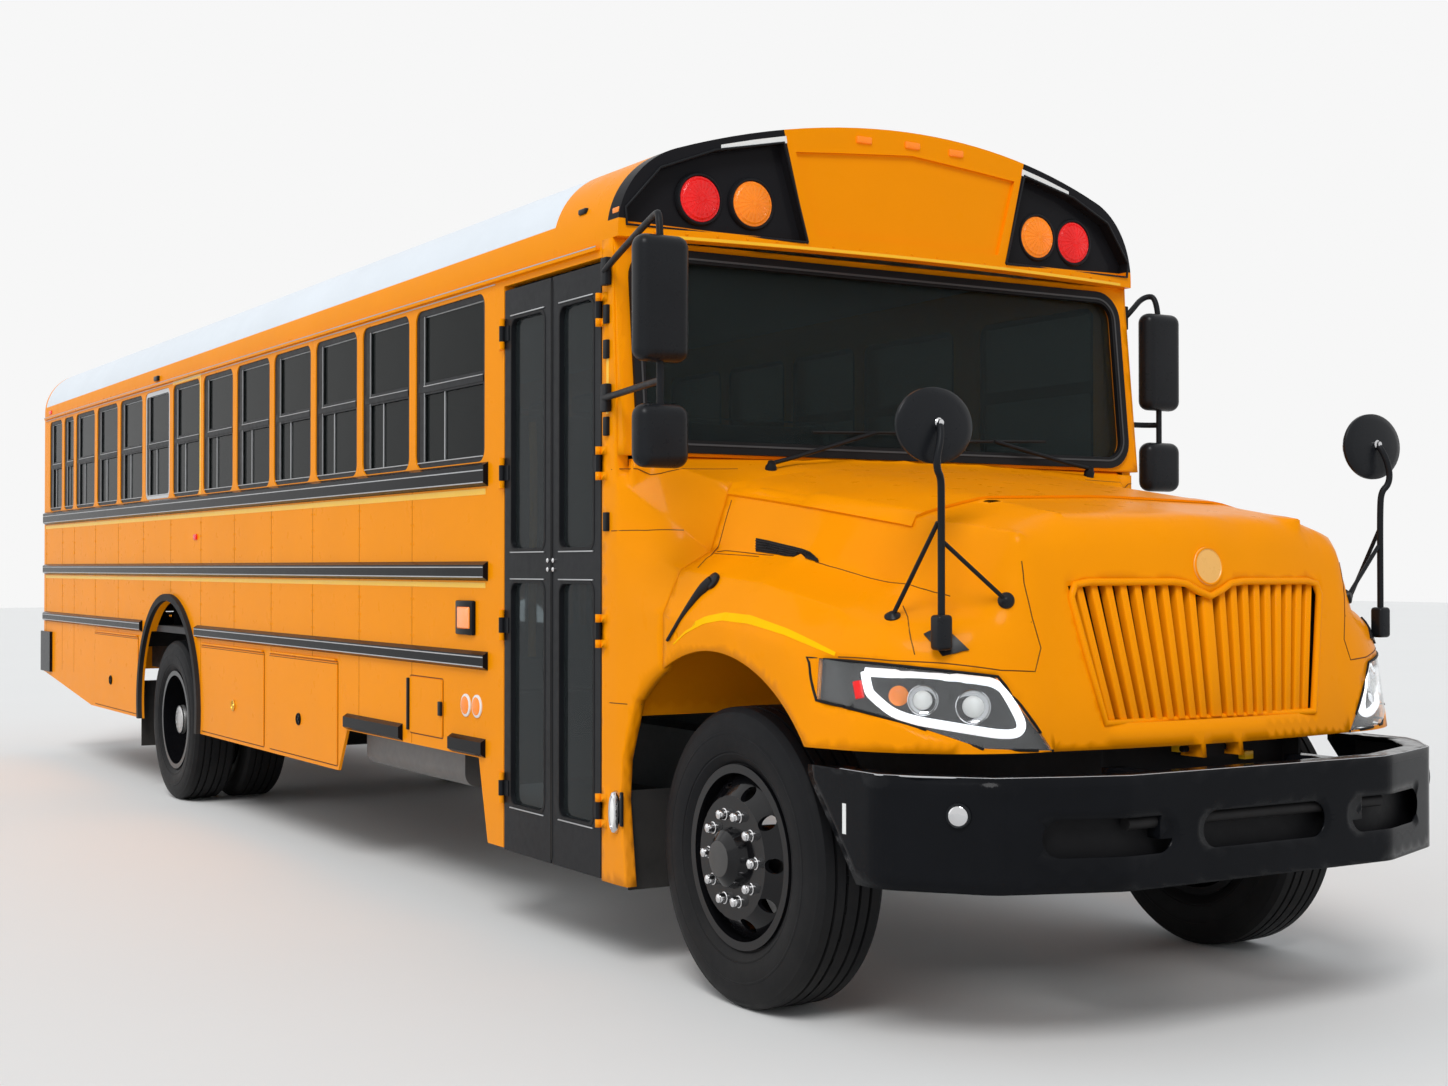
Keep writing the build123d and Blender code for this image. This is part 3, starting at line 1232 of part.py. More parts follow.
node("rear_door", rear_door())
exit_panes = []
for low, high in EXIT_LIGHTS:
    half = REAR_DOOR_HALF - EXIT_GAP - 90
    face = Pos(0, (low + high) / 2) * RectangleRounded(2 * (half - SEAT_GAP), high - low - 2 * SEAT_GAP, 50.0 - SEAT_GAP)
    exit_panes.append(along(face, BODY_END - WALL / 2, BODY_END - WALL / 2 + PANE))
node("rear_door_glass", *exit_panes)
rear_solid = NODES["rear_wall"][0]
for z in EXIT_HINGES:
    rear_solid += rod((EXIT_HINGE_X, BODY_END + HINGE_OUT, z - 60), (EXIT_HINGE_X, BODY_END + HINGE_OUT, z + 60), 5.0)
    for low in (z - 60, z + 31):
        rear_solid += rod((EXIT_HINGE_X, BODY_END + HINGE_OUT, low), (EXIT_HINGE_X, BODY_END + HINGE_OUT, low + 29), HINGE_R)
        rear_solid += block(EXIT_HINGE_X - 60, EXIT_HINGE_X, BODY_END, BODY_END + 6, low, low + 29)
node("rear_wall", rear_solid)

# Stop arm: a blank octagon folded against the left wall, hinged at its front edge
ARM_PLACE = 1480.0
ARM_Z = 1610.0
ARM_RADIUS = 245.0
ARM_PLATE = 12.0
ARM_HINGE = ARM_PLACE - 270.0
ARM_OUT = BODY_HALF + 40.0


def stop_arm():
    """Octagonal plate with a short arm to its hinge barrel."""
    face = Pos(ARM_PLACE, ARM_Z) * Rot(0, 0, 22.5) * RegularPolygon(ARM_RADIUS, 8)
    plate = across(face, ARM_OUT, ARM_OUT + ARM_PLATE)
    plate += block(ARM_OUT, ARM_OUT + ARM_PLATE, ARM_HINGE, ARM_PLACE, ARM_Z - 90, ARM_Z + 90)
    x = ARM_OUT + ARM_PLATE / 2
    plate += rod((x, ARM_HINGE, ARM_Z - 90), (x, ARM_HINGE, ARM_Z + 90), 14.0)
    return plate - rod((x, ARM_HINGE, ARM_Z - 100), (x, ARM_HINGE, ARM_Z + 100), 7.0 + PIN_GAP)


node("stop_arm", stop_arm())
left_solid = NODES["side_wall_left"][0]
ARM_PIN_X = ARM_OUT + ARM_PLATE / 2
left_solid += rod((ARM_PIN_X, ARM_HINGE, ARM_Z - 120), (ARM_PIN_X, ARM_HINGE, ARM_Z + 120), 7.0)
for low in (ARM_Z - 120, ARM_Z + 95):
    left_solid += rod((ARM_PIN_X, ARM_HINGE, low), (ARM_PIN_X, ARM_HINGE, low + 25), 14.0)
    left_solid += block(BODY_HALF - 5, ARM_PIN_X, ARM_HINGE - 12, ARM_HINGE + 12, low, low + 25)
node("side_wall_left", left_solid)

# Rub rails. Columns: low Z, high Z, front, rear
RAIL_OUT = 22.0
RAILS = [
    (1755.0, 1853.0, FIRST_WINDOW, WALL_END),
    (1373.0, 1452.0, FIRST_WINDOW, WALL_END),
    (1012.0, 1088.0, FIRST_WINDOW, WHEELBASE - 634.0),
    (1012.0, 1088.0, WHEELBASE + 614.0, WALL_END),
    (660.0, 736.0, 1788.0, 2127.0),
    (660.0, 736.0, 2677.0, 3380.0),
]


def rub_rail(low, high, front, rear):
    """A trapezoid rail along the +X side."""
    x = BODY_HALF + SEAT_GAP
    face = outline([(x, low), (x + RAIL_OUT, low + 14), (x + RAIL_OUT, high - 14), (x, high)])
    return along(face, front, rear)


rails = []
for row in RAILS:
    rails += both(rub_rail(*row))
node("rub_rails", *rails)

# Fender rubber round the rear arches, and the mud flaps
RUBBER_OUT = 26.0
RUBBER_WIDE = 42.0
FLAP = 10.0


def arch_rubber():
    """A rubber hoop round the +X rear arch."""
    x = BODY_HALF + SEAT_GAP
    hoop = wheel_arch(REAR_ARCH, WHEELBASE, x, x + RUBBER_OUT, RUBBER_WIDE)
    hoop -= wheel_arch(REAR_ARCH, WHEELBASE, x, x + RUBBER_OUT)
    return hoop - block(x - 5, x + 60, WHEELBASE - 900, WHEELBASE + 900, -400, SKIRT_LOW)


FRONT_FLAP = 652.0
front_flap = block(880.0, BODY_HALF - COWL_WALL - 1.5, FRONT_FLAP, FRONT_FLAP + FLAP, 290.0, 640.0)
REAR_FLAP = WHEELBASE + 727.0
rear_flap = block(600.0, REAR_TYRE_OUTER, REAR_FLAP - FLAP - SEAT_GAP, REAR_FLAP - SEAT_GAP, 270.0, 690.0)
node("fender_rubber", *both(arch_rubber()), mirror(front_flap, Plane.YZ), *both(rear_flap))
frame_solid = NODES["chassis_frame"][0]
for side in (-1, 1):
    frame_solid += block(side * (FRAME_HALF - 5), side * REAR_TYRE_OUTER, REAR_FLAP, REAR_FLAP + 40, 650, 690)
node("chassis_frame", frame_solid)

# Lamps: front warning lamps in the cap, rear warning and tail lamps, fog lamps in the bumper
LENS_R = 86.0
LENS_Z = 2760.0
LENS_PLACES = (678.0, 889.0)
REAR_LENS = ((700.0, 2690.0), (930.0, 2690.0), (1080.0, 1330.0), (1080.0, 1530.0))
LENS_PROUD = 28.0
lenses = []
cap_floor = upright(cap_plan(LAMP_RECESS - SEAT_GAP), CAP_LOW, CAP_TOP)
for x in LENS_PLACES:
    lens = rod((x, CAP_FRONT + 55, LENS_Z), (x, CAP_FRONT + 200, LENS_Z), LENS_R)
    lenses += both(lens - cap_floor)
for x, z in REAR_LENS:
    lenses += both(rod((x, BODY_END + SEAT_GAP, z), (x, BODY_END + LENS_PROUD, z), LENS_R))
node("body_lamps", *lenses)

# Rear-view mirrors: flat and convex heads on tubes from the front posts
RIGHT_MIRROR = (-1375.0, 80.0)
LEFT_MIRROR = (1375.0, 660.0)
HEAD = (195.0, 90.0, 410.0)
HEAD_LOW = 2090.0
CONVEX_LOW = 1745.0
CONVEX = 210.0
BRACKET_PLACE = 725.0


def mirror_set(side, place):
    """Upper and lower heads on one upright tube with two arms."""
    x, y = place
    head = block(x - HEAD[0] / 2, x + HEAD[0] / 2, y - HEAD[1] / 2, y + HEAD[1] / 2, HEAD_LOW, HEAD_LOW + HEAD[2])
    head = fillet(head.edges().filter_by(Axis.Z), 35.0)
    low = block(x - HEAD[0] / 2, x + HEAD[0] / 2, y - HEAD[1] / 2, y + HEAD[1] / 2, CONVEX_LOW, CONVEX_LOW + CONVEX)
    low = fillet(low.edges().filter_by(Axis.Z), 35.0)
    part = head + low + rod((x, y, CONVEX_LOW + 20), (x, y, HEAD_LOW + HEAD[2] + 90), 12.0)
    part += rod((x, y, HEAD_LOW + HEAD[2] + 80), (side * (BODY_HALF + 20), BRACKET_PLACE, 2480.0), 12.0)
    part += rod((x, y, HEAD_LOW - 60), (side * (BODY_HALF + 20), BRACKET_PLACE, 2030.0), 10.0)
    for z in (2480.0, 2030.0):
        part += block(side * (BODY_HALF + SEAT_GAP), side * (BODY_HALF + 26), BRACKET_PLACE - 22, BRACKET_PLACE + 22,
                      z - 50, z + 50)
    return part


node("side_mirrors", mirror_set(-1, RIGHT_MIRROR), mirror_set(1, LEFT_MIRROR))

for name, solids in NODES.items():
    shape = solids[0] if len(solids) == 1 else Compound(children=list(solids))
    export_step(shape, f"parts/{name}.step")
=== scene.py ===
import math

import bmesh
import bpy
from mathutils import Euler, Matrix, Vector
from mathutils.bvhtree import BVHTree


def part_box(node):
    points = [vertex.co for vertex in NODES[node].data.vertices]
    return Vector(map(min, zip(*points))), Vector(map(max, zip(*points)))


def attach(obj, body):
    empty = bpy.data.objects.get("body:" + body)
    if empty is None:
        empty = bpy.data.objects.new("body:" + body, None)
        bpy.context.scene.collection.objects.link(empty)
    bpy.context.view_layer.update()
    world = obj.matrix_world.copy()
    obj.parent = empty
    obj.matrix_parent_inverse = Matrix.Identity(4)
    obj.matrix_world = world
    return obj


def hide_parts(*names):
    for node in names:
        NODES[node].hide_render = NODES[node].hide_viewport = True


# A conventional school bus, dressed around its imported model. Metres, front towards -Y, door on the -X side.
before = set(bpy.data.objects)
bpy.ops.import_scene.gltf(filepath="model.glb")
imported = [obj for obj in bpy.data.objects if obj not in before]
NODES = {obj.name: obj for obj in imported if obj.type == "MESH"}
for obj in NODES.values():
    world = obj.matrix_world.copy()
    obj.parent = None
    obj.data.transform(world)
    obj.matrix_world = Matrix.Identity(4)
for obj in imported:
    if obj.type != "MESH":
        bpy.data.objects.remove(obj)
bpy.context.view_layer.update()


def middle(name):
    """Centre of a node's box."""
    low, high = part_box(name)
    return (low + high) / 2


# The front axle read from the model, the ground, and the two sides of the bus
FRONT_AXLE = middle("front_tyre_left")
GROUND = 0.0
SIDES = ((-1, "right"), (1, "left"))


def back(distance):
    """Y of a place this far behind the front axle."""
    return FRONT_AXLE.y + distance


# Node groups for the effects that several materials share


def new_group(name, inputs, outputs):
    """An empty shader group with named number inputs and outputs."""
    group = bpy.data.node_groups.new(name, "ShaderNodeTree")
    for label, kind, value in inputs:
        socket = group.interface.new_socket(label, in_out="INPUT", socket_type=kind)
        if value is not None:
            socket.default_value = value
    for label, kind in outputs:
        group.interface.new_socket(label, in_out="OUTPUT", socket_type=kind)
    return group, group.nodes.new("NodeGroupInput"), group.nodes.new("NodeGroupOutput")


def add(tree, kind, **settings):
    """A node with its settings and its unlinked inputs."""
    made = tree.nodes.new(kind)
    for key, value in settings.items():
        if key in made.inputs:
            made.inputs[key].default_value = value
        else:
            setattr(made, key, value)
    return made


def math_node(tree, operation, first, second=None, clamp=False):
    """A Math node on two values or links."""
    made = tree.nodes.new("ShaderNodeMath")
    made.operation = operation
    made.use_clamp = clamp
    for index, value in enumerate((first, second)):
        if value is None:
            continue
        if isinstance(value, (int, float)):
            made.inputs[index].default_value = value
        else:
            tree.links.new(value, made.inputs[index])
    return made.outputs[0]


def mix_colour(tree, factor, first, second):
    """A colour mixed by a factor from two colours or links."""
    made = tree.nodes.new("ShaderNodeMix")
    made.data_type = "RGBA"
    for socket, value in ((made.inputs[0], factor), (made.inputs[6], first), (made.inputs[7], second)):
        if isinstance(value, (int, float)):
            socket.default_value = value
        elif isinstance(value, (tuple, list)):
            socket.default_value = (*value[:3], 1.0)
        else:
            tree.links.new(value, socket)
    return made.outputs[2]


def step_mask(tree, value, low, high):
    """0 below low, 1 above high, smooth between."""
    made = tree.nodes.new("ShaderNodeMapRange")
    made.interpolation_type = "SMOOTHSTEP"
    made.inputs["From Min"].default_value = low
    made.inputs["From Max"].default_value = high
    tree.links.new(value, made.inputs["Value"])
    return made.outputs["Result"]


def build_unevenness():
    """Cloudy mask over the surface, from 0 to 1."""
    group, into, out = new_group(
        "unevenness",
        [("Scale", "NodeSocketFloat", 3.0), ("Contrast", "NodeSocketFloat", 1.0)],
        [("Mask", "NodeSocketFloat")],
    )
    place = add(group, "ShaderNodeTexCoord")
    noise = add(group, "ShaderNodeTexNoise", Detail=5.0, Roughness=0.6)
    group.links.new(place.outputs["Object"], noise.inputs["Vector"])
    group.links.new(into.outputs["Scale"], noise.inputs["Scale"])
    centred = math_node(group, "SUBTRACT", noise.outputs[0], 0.5)
    scaled = math_node(group, "MULTIPLY", centred, into.outputs["Contrast"])
    group.links.new(math_node(group, "ADD", scaled, 0.5, clamp=True), out.inputs["Mask"])
    return group


def build_grain():
    """Fine height for orange peel, cast skin, leather or moulded plastic."""
    group, into, out = new_group(
        "fine_grain",
        [("Scale", "NodeSocketFloat", 200.0), ("Cells", "NodeSocketFloat", 0.0)],
        [("Height", "NodeSocketFloat")],
    )
    place = add(group, "ShaderNodeTexCoord")
    noise = add(group, "ShaderNodeTexNoise", Detail=3.0, Roughness=0.55)
    cells = add(group, "ShaderNodeTexVoronoi", feature="DISTANCE_TO_EDGE")
    for texture in (noise, cells):
        group.links.new(place.outputs["Object"], texture.inputs["Vector"])
        group.links.new(into.outputs["Scale"], texture.inputs["Scale"])
    edge = math_node(group, "MULTIPLY", cells.outputs["Distance"], into.outputs["Cells"])
    group.links.new(math_node(group, "ADD", noise.outputs[0], edge), out.inputs["Height"])
    return group


def build_road_dust():
    """Dust mask that fades out upwards, broken up by noise."""
    group, into, out = new_group(
        "road_dust",
        [("Top", "NodeSocketFloat", 0.9), ("Amount", "NodeSocketFloat", 0.5)],
        [("Mask", "NodeSocketFloat")],
    )
    place = add(group, "ShaderNodeTexCoord")
    split = add(group, "ShaderNodeSeparateXYZ")
    group.links.new(place.outputs["Object"], split.inputs[0])
    share = math_node(group, "DIVIDE", split.outputs["Z"], into.outputs["Top"])
    fade = math_node(group, "SUBTRACT", 1.0, share, clamp=True)
    noise = add(group, "ShaderNodeTexNoise", Scale=7.0, Detail=6.0, Roughness=0.65)
    group.links.new(place.outputs["Object"], noise.inputs["Vector"])
    broken = math_node(group, "MULTIPLY", fade, noise.outputs[0])
    mask = math_node(group, "MULTIPLY", broken, into.outputs["Amount"], clamp=True)
    group.links.new(mask, out.inputs["Mask"])
    return group


UNEVEN = build_unevenness()
GRAIN = build_grain()
DUST = build_road_dust()
DUST_COLOUR = (0.30, 0.27, 0.23)


def place_group(tree, group, **values):
    """One use of a shared group."""
    made = tree.nodes.new("ShaderNodeGroup")
    made.node_tree = group
    for key, value in values.items():
        made.inputs[key].default_value = value
    return made


def surface(name, colour, roughness, metallic=0.0, shade=0.12, cloud=3.0, rough_shift=0.12, grain=200.0,
            cells=0.0, bump=0.05, bump_depth=0.002, dust=0.0, dust_top=1.0, coat=0.0, coat_rough=0.05,
            specular=0.5):
    """A material whose colour, gloss and fine relief vary over the surface."""
    material = bpy.data.materials.new(name)
    material.use_nodes = True
    tree = material.node_tree
    shader = tree.nodes["Principled BSDF"]
    shader.inputs["Metallic"].default_value = metallic
    shader.inputs["Coat Weight"].default_value = coat
    shader.inputs["Coat Roughness"].default_value = coat_rough
    shader.inputs["Specular IOR Level"].default_value = specular
    clouds = place_group(tree, UNEVEN, Scale=cloud, Contrast=1.6)
    darker = tuple(channel * (1 - shade) for channel in colour)
    lighter = tuple(min(1.0, channel * (1 + shade)) for channel in colour)
    tint = mix_colour(tree, clouds.outputs["Mask"], darker, lighter)
    fine = place_group(tree, UNEVEN, Scale=cloud * 9, Contrast=2.0)
    gloss = math_node(tree, "MULTIPLY", math_node(tree, "SUBTRACT", fine.outputs["Mask"], 0.5), rough_shift)
    gloss = math_node(tree, "ADD", gloss, roughness, clamp=True)
    if dust:
        film = place_group(tree, DUST, Top=dust_top, Amount=dust)
        tint = mix_colour(tree, film.outputs["Mask"], tint, DUST_COLOUR)
        dull = math_node(tree, "MULTIPLY", film.outputs["Mask"], 0.5)
        gloss = math_node(tree, "ADD", gloss, dull, clamp=True)
    tree.links.new(tint, shader.inputs["Base Color"])
    tree.links.new(gloss, shader.inputs["Roughness"])
    relief = place_group(tree, GRAIN, Scale=grain, Cells=cells)
    raised = add(tree, "ShaderNodeBump", Strength=bump, Distance=bump_depth)
    tree.links.new(relief.outputs["Height"], raised.inputs["Height"])
    tree.links.new(raised.outputs["Normal"], shader.inputs["Normal"])
    return material


def tint_link(material):
    """The link that feeds the material's colour."""
    shader = material.node_tree.nodes["Principled BSDF"]
    return shader, shader.inputs["Base Color"].links[0].from_socket


# Painted, moulded and metal finishes
YELLOW = (0.89, 0.29, 0.001)
WHITE = (0.72, 0.77, 0.82)

# What the body paint and the front cap's paint share
PAINT = dict(shade=0.045, cloud=1.3, rough_shift=0.10, grain=420.0, bump=0.05, bump_depth=0.0006, coat=0.05,
             coat_rough=0.06, specular=0.02)

body_paint = surface("body_paint", YELLOW, 0.30, dust=0.2, dust_top=0.8, **PAINT)
ROOF_LINE = (2.665, 2.707)


def roof_paint_material():
    """White roof paint that turns yellow below a line along each side."""
    material = surface("roof_paint", WHITE, 0.34, shade=0.06, cloud=1.1, rough_shift=0.12, grain=300.0,
                       bump=0.05, bump_depth=0.0008, coat=0.05, coat_rough=0.1, specular=0.02)
    tree = material.node_tree
    shader, white = tint_link(material)
    place = add(tree, "ShaderNodeTexCoord")
    split = add(tree, "ShaderNodeSeparateXYZ")
    tree.links.new(place.outputs["Object"], split.inputs[0])
    low, high = ROOF_LINE
    slope = (low - high) / (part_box("roof")[1].y - back(1.2))
    drop = math_node(tree, "MULTIPLY", math_node(tree, "SUBTRACT", split.outputs["Y"], back(1.2)), slope)
    line = math_node(tree, "SUBTRACT", split.outputs["Z"], math_node(tree, "ADD", drop, high))
    mask = step_mask(tree, line, -0.002, 0.002)
    clouds = place_group(tree, UNEVEN, Scale=1.3, Contrast=1.6)
    darker, lighter = [[channel * share for channel in YELLOW] for share in (0.955, 1.045)]
    yellow = mix_colour(tree, clouds.outputs["Mask"], darker, lighter)
    tree.links.new(mix_colour(tree, mask, yellow, white), shader.inputs["Base Color"])
    return material


roof_paint = roof_paint_material()

CAP_BOW = (0.560, 14.981)
PANEL_INNER = 0.471
PANEL_LEAN = 0.2507
PANEL_FOOT = 2.631
PANEL_RISE = 0.045
PANEL_HEAD_Z = 2.640
WRAP = 0.085


def cap_paint_material():
    """Body paint with the two black lamp panels of the front cap."""
    material = surface("cap_paint", YELLOW, 0.30, **PAINT)
    tree = material.node_tree
    shader, yellow = tint_link(material)
    place = add(tree, "ShaderNodeTexCoord")
    split = add(tree, "ShaderNodeSeparateXYZ")
    tree.links.new(place.outputs["Object"], split.inputs[0])
    across = math_node(tree, "ABSOLUTE", split.outputs["X"])
    height = split.outputs["Z"]
    over = math_node(tree, "MULTIPLY", math_node(tree, "SUBTRACT", height, PANEL_HEAD_Z), PANEL_LEAN)
    inner = math_node(tree, "SUBTRACT", across, math_node(tree, "ADD", over, PANEL_INNER))
    rise = math_node(tree, "MULTIPLY", math_node(tree, "SUBTRACT", across, PANEL_INNER), PANEL_RISE)
    foot = math_node(tree, "SUBTRACT", height, math_node(tree, "ADD", rise, PANEL_FOOT))
    bow, curve = CAP_BOW
    face = math_node(tree, "DIVIDE", math_node(tree, "MULTIPLY", across, across), curve)
    face = math_node(tree, "ADD", face, back(bow + WRAP))
    front = math_node(tree, "SUBTRACT", face, split.outputs["Y"])
    mask = step_mask(tree, inner, -0.0015, 0.0015)
    for part in (foot, front):
        mask = math_node(tree, "MULTIPLY", mask, step_mask(tree, part, -0.0015, 0.0015))
    tree.links.new(mix_colour(tree, mask, yellow, (0.012, 0.012, 0.014)), shader.inputs["Base Color"])
    return material


cap_paint = cap_paint_material()
black_gloss = surface("black_gloss", (0.005, 0.0055, 0.007), 0.16, shade=0.3, rough_shift=0.12, grain=260.0,
                      bump=0.05, coat=0.04, specular=0.05)
black_satin = surface("black_satin", (0.011, 0.012, 0.014), 0.4, shade=0.3, rough_shift=0.15, grain=500.0,
                      bump=0.12, bump_depth=0.0006, specular=0.1)
chassis_black = surface("chassis_black", (0.01, 0.01, 0.011), 0.55, shade=0.35, rough_shift=0.2, grain=120.0,
                        bump=0.2, dust=0.1, dust_top=1.0, specular=0.1)
moulded_black = surface("moulded_black", (0.010, 0.011, 0.013), 0.3, shade=0.2, grain=900.0, cells=0.6,
                        bump=0.12, bump_depth=0.0004, specular=0.14)
rubber = surface("rubber", (0.014, 0.014, 0.015), 0.72, shade=0.3, grain=350.0, bump=0.2, dust=0.2,
                 dust_top=0.9, specular=0.2)
cast_iron = surface("cast_iron", (0.07, 0.072, 0.075), 0.6, metallic=0.4, shade=0.3, grain=180.0, bump=0.4,
                    dust=0.8, dust_top=1.6)
sheet_steel = surface("sheet_steel", (0.26, 0.26, 0.26), 0.45, metallic=0.85, shade=0.2, grain=90.0,
                      bump=0.12, dust=0.7, dust_top=1.1)
exhaust_steel = surface("exhaust_steel", (0.17, 0.12, 0.09), 0.6, metallic=0.7, shade=0.5, cloud=9.0,
                        grain=140.0, bump=0.3, dust=0.8, dust_top=1.0)
tank_metal = surface("tank_metal", (0.09, 0.09, 0.095), 0.4, metallic=0.6, shade=0.2, grain=160.0, bump=0.1,
                     dust=0.9, dust_top=1.0)
chrome = surface("chrome", (0.62, 0.62, 0.63), 0.09, metallic=1.0, shade=0.05, rough_shift=0.08, grain=60.0,
                 bump=0.02)
aluminium = surface("aluminium", (0.55, 0.56, 0.57), 0.36, metallic=0.9, shade=0.08, grain=150.0, bump=0.06)
rim_paint = surface("rim_paint", (0.005, 0.005, 0.006), 0.14, shade=0.3, rough_shift=0.14, grain=160.0,
                    bump=0.08, coat=0.12, specular=0.2)
floor_cover = surface("floor_cover", (0.03, 0.03, 0.032), 0.7, shade=0.25, grain=90.0, cells=0.8, bump=0.25)
dash_grain = surface("dash_grain", (0.028, 0.029, 0.032), 0.55, shade=0.15, grain=600.0, cells=1.0, bump=0.3,
                     bump_depth=0.0008)
seat_vinyl = surface("seat_vinyl", (0.022, 0.028, 0.042), 0.48, shade=0.2, cloud=6.0, grain=420.0, cells=1.2,
                     bump=0.35, bump_depth=0.0008)
stop_red = surface("stop_red", (0.50, 0.008, 0.010), 0.34, shade=0.08, grain=700.0, cells=1.0, bump=0.15,
                   specular=0.1)
white_tape = surface("white_tape", (0.78, 0.79, 0.78), 0.36, shade=0.05, grain=500.0, cells=1.0, bump=0.2)
yellow_tape = surface("yellow_tape", (0.93, 0.52, 0.006), 0.34, shade=0.05, grain=500.0, cells=1.0, bump=0.2)
handrail_paint = surface("handrail_paint", (0.80, 0.36, 0.02), 0.32, shade=0.05, grain=200.0, bump=0.06)

hub_bright = surface("hub_bright", (0.5, 0.5, 0.5), 0.3, metallic=0.9, shade=0.2, grain=120.0, bump=0.1,
                     dust=0.2)
hub_grey = surface("hub_grey", (0.05, 0.05, 0.052), 0.4, metallic=0.5, shade=0.25, grain=120.0, bump=0.1,
                   dust=0.2)
gasket_rubber = surface("gasket_rubber", (0.008, 0.008, 0.009), 0.5, shade=0.3, grain=300.0, bump=0.1,
                        specular=0.12)
rubber_edge = surface("rubber_edge", (0.03, 0.03, 0.032), 0.35, shade=0.2, grain=300.0, bump=0.1)
# Grey bright trim. Also used for thin lines that are painted highlights along window sashes, sills and the
# gutter.
bright_trim_and_highlight = surface("bright_trim_and_highlight", (0.42, 0.43, 0.44), 0.35, metallic=0.8, shade=0.1, grain=200.0, bump=0.05)
seam_dark = surface("seam_dark", (0.12, 0.035, 0.003), 0.6, shade=0.3, grain=200.0, bump=0.1, specular=0.2)
# Pale grey for painted highlights on the black rails and bumper.
rail_highlight_grey = surface("rail_highlight_grey", (0.42, 0.43, 0.44), 0.4, shade=0.1, grain=200.0, bump=0.05)
brass = surface("brass", (0.72, 0.42, 0.06), 0.25, metallic=1.0, shade=0.1, grain=120.0, bump=0.05)
vent_black = surface("vent_black", (0.006, 0.006, 0.007), 0.6, shade=0.3, grain=500.0, cells=0.8, bump=0.2,
                     specular=0.15)
lamp_bowl = surface("lamp_bowl", (0.018, 0.019, 0.021), 0.3, shade=0.2, grain=300.0, bump=0.05, specular=0.3)
lap_line = surface("lap_line", (0.40, 0.12, 0.002), 0.6, shade=0.3, grain=200.0, bump=0.1, specular=0.05)
# Brighter yellow for a painted highlight along the fender crease.
crease_highlight_yellow = surface("crease_highlight_yellow", (0.98, 0.50, 0.001), 0.3, shade=0.05, grain=400.0, bump=0.05,
                        specular=0.02)
plate_yellow = surface("plate_yellow", (0.80, 0.42, 0.10), 0.3, shade=0.1, grain=300.0, bump=0.05)


def glass(name, tint, transmission, roughness=0.02, film=0.06, ior=1.22):
    """Tinted glass with a faint uneven film on it."""
    material = bpy.data.materials.new(name)
    material.use_nodes = True
    tree = material.node_tree
    shader = tree.nodes["Principled BSDF"]
    shader.inputs["Transmission Weight"].default_value = transmission
    shader.inputs["IOR"].default_value = ior
    clouds = place_group(tree, UNEVEN, Scale=4.0, Contrast=1.8)
    dull = tuple(min(1.0, channel + film) for channel in tint)
    tree.links.new(mix_colour(tree, clouds.outputs["Mask"], tint, dull), shader.inputs["Base Color"])
    gloss = math_node(tree, "MULTIPLY", clouds.outputs["Mask"], 0.05)
    tree.links.new(math_node(tree, "ADD", gloss, roughness), shader.inputs["Roughness"])
    return material


side_glass = glass("side_glass", (0.02, 0.026, 0.026), 0.75, film=0.01, ior=1.12)
screen_glass = glass("screen_glass", (0.16, 0.21, 0.21), 0.95, film=0.02, ior=1.12)
door_glass = glass("door_glass", (0.14, 0.17, 0.18), 0.92, film=0.02, ior=1.15)
lamp_cover = glass("lamp_cover", (0.92, 0.94, 0.95), 0.97, film=0.02, ior=1.3)
mirror_silver = surface("mirror_silver", (0.78, 0.8, 0.81), 0.03, metallic=1.0, shade=0.02, rough_shift=0.03,
                        grain=40.0, bump=0.0)


def lens(name, colour, glow=0.0):
    """A moulded lens with rings and spokes of prisms."""
    material = surface(name, colour, 0.16, shade=0.18, cloud=12.0, grain=260.0, cells=1.6, bump=0.35,
                       bump_depth=0.0012, coat=0.12, coat_rough=0.03, specular=0.2)
    shader = material.node_tree.nodes["Principled BSDF"]
    shader.inputs["Transmission Weight"].default_value = 0.15
    shader.inputs["Emission Color"].default_value = (*colour, 1.0)
    shader.inputs["Emission Strength"].default_value = glow
    return material


red_lens = lens("red_lens", (0.75, 0.012, 0.012), 0.25)
amber_lens = lens("amber_lens", (0.92, 0.24, 0.01), 0.25)
clear_lens = lens("clear_lens", (0.85, 0.86, 0.84), 0.1)
led_white = lens("led_white", (0.95, 0.97, 1.0), 0.9)


tyre_rubber = surface("tyre_rubber", (0.008, 0.0085, 0.010), 0.5, shade=0.3, grain=220.0, bump=0.25,
                      dust=0.06, dust_top=1.0, specular=0.07)

# The finish of each carried-over node
NODE_FINISHES = [
    (chassis_black, "chassis_frame front_axle rear_axle leaf_springs knuckle_right knuckle_left tie_rod"),
    (cast_iron, "engine_block"),
    (sheet_steel, "drive_shaft"),
    (tank_metal, "fuel_tank"),
    (exhaust_steel, "exhaust"),
    (black_gloss, "front_bumper rear_bumper rub_rails"),
    (floor_cover, "floor_pan step_well"),
    (body_paint, "side_wall_right side_wall_left rear_wall cowl hood grille rear_door"),
    (roof_paint, "roof"),
    (cap_paint, "front_cap"),
    (screen_glass, "windscreen"),
    (side_glass, "window_glass rear_door_glass"),
    (door_glass, "entry_glass_front entry_glass_rear"),
    (black_satin, "window_frames seat_frames entry_leaf_front entry_leaf_rear"),
    (rubber, "fender_rubber"),
    (seat_vinyl, "seats"),
    (dash_grain, "dashboard steering_wheel"),
    (moulded_black, "side_mirrors crossview_mirrors"),
    (red_lens, "body_lamps"),
    (lamp_cover, "headlamps"),
    (stop_red, "stop_arm"),
    (rim_paint, "front_rim_right front_rim_left rear_rims_right rear_rims_left"),
    (tyre_rubber, "front_tyre_right front_tyre_left rear_tyres_right rear_tyres_left"),
]
FINISH_OF = {node_name: material for material, names in NODE_FINISHES for node_name in names.split()}
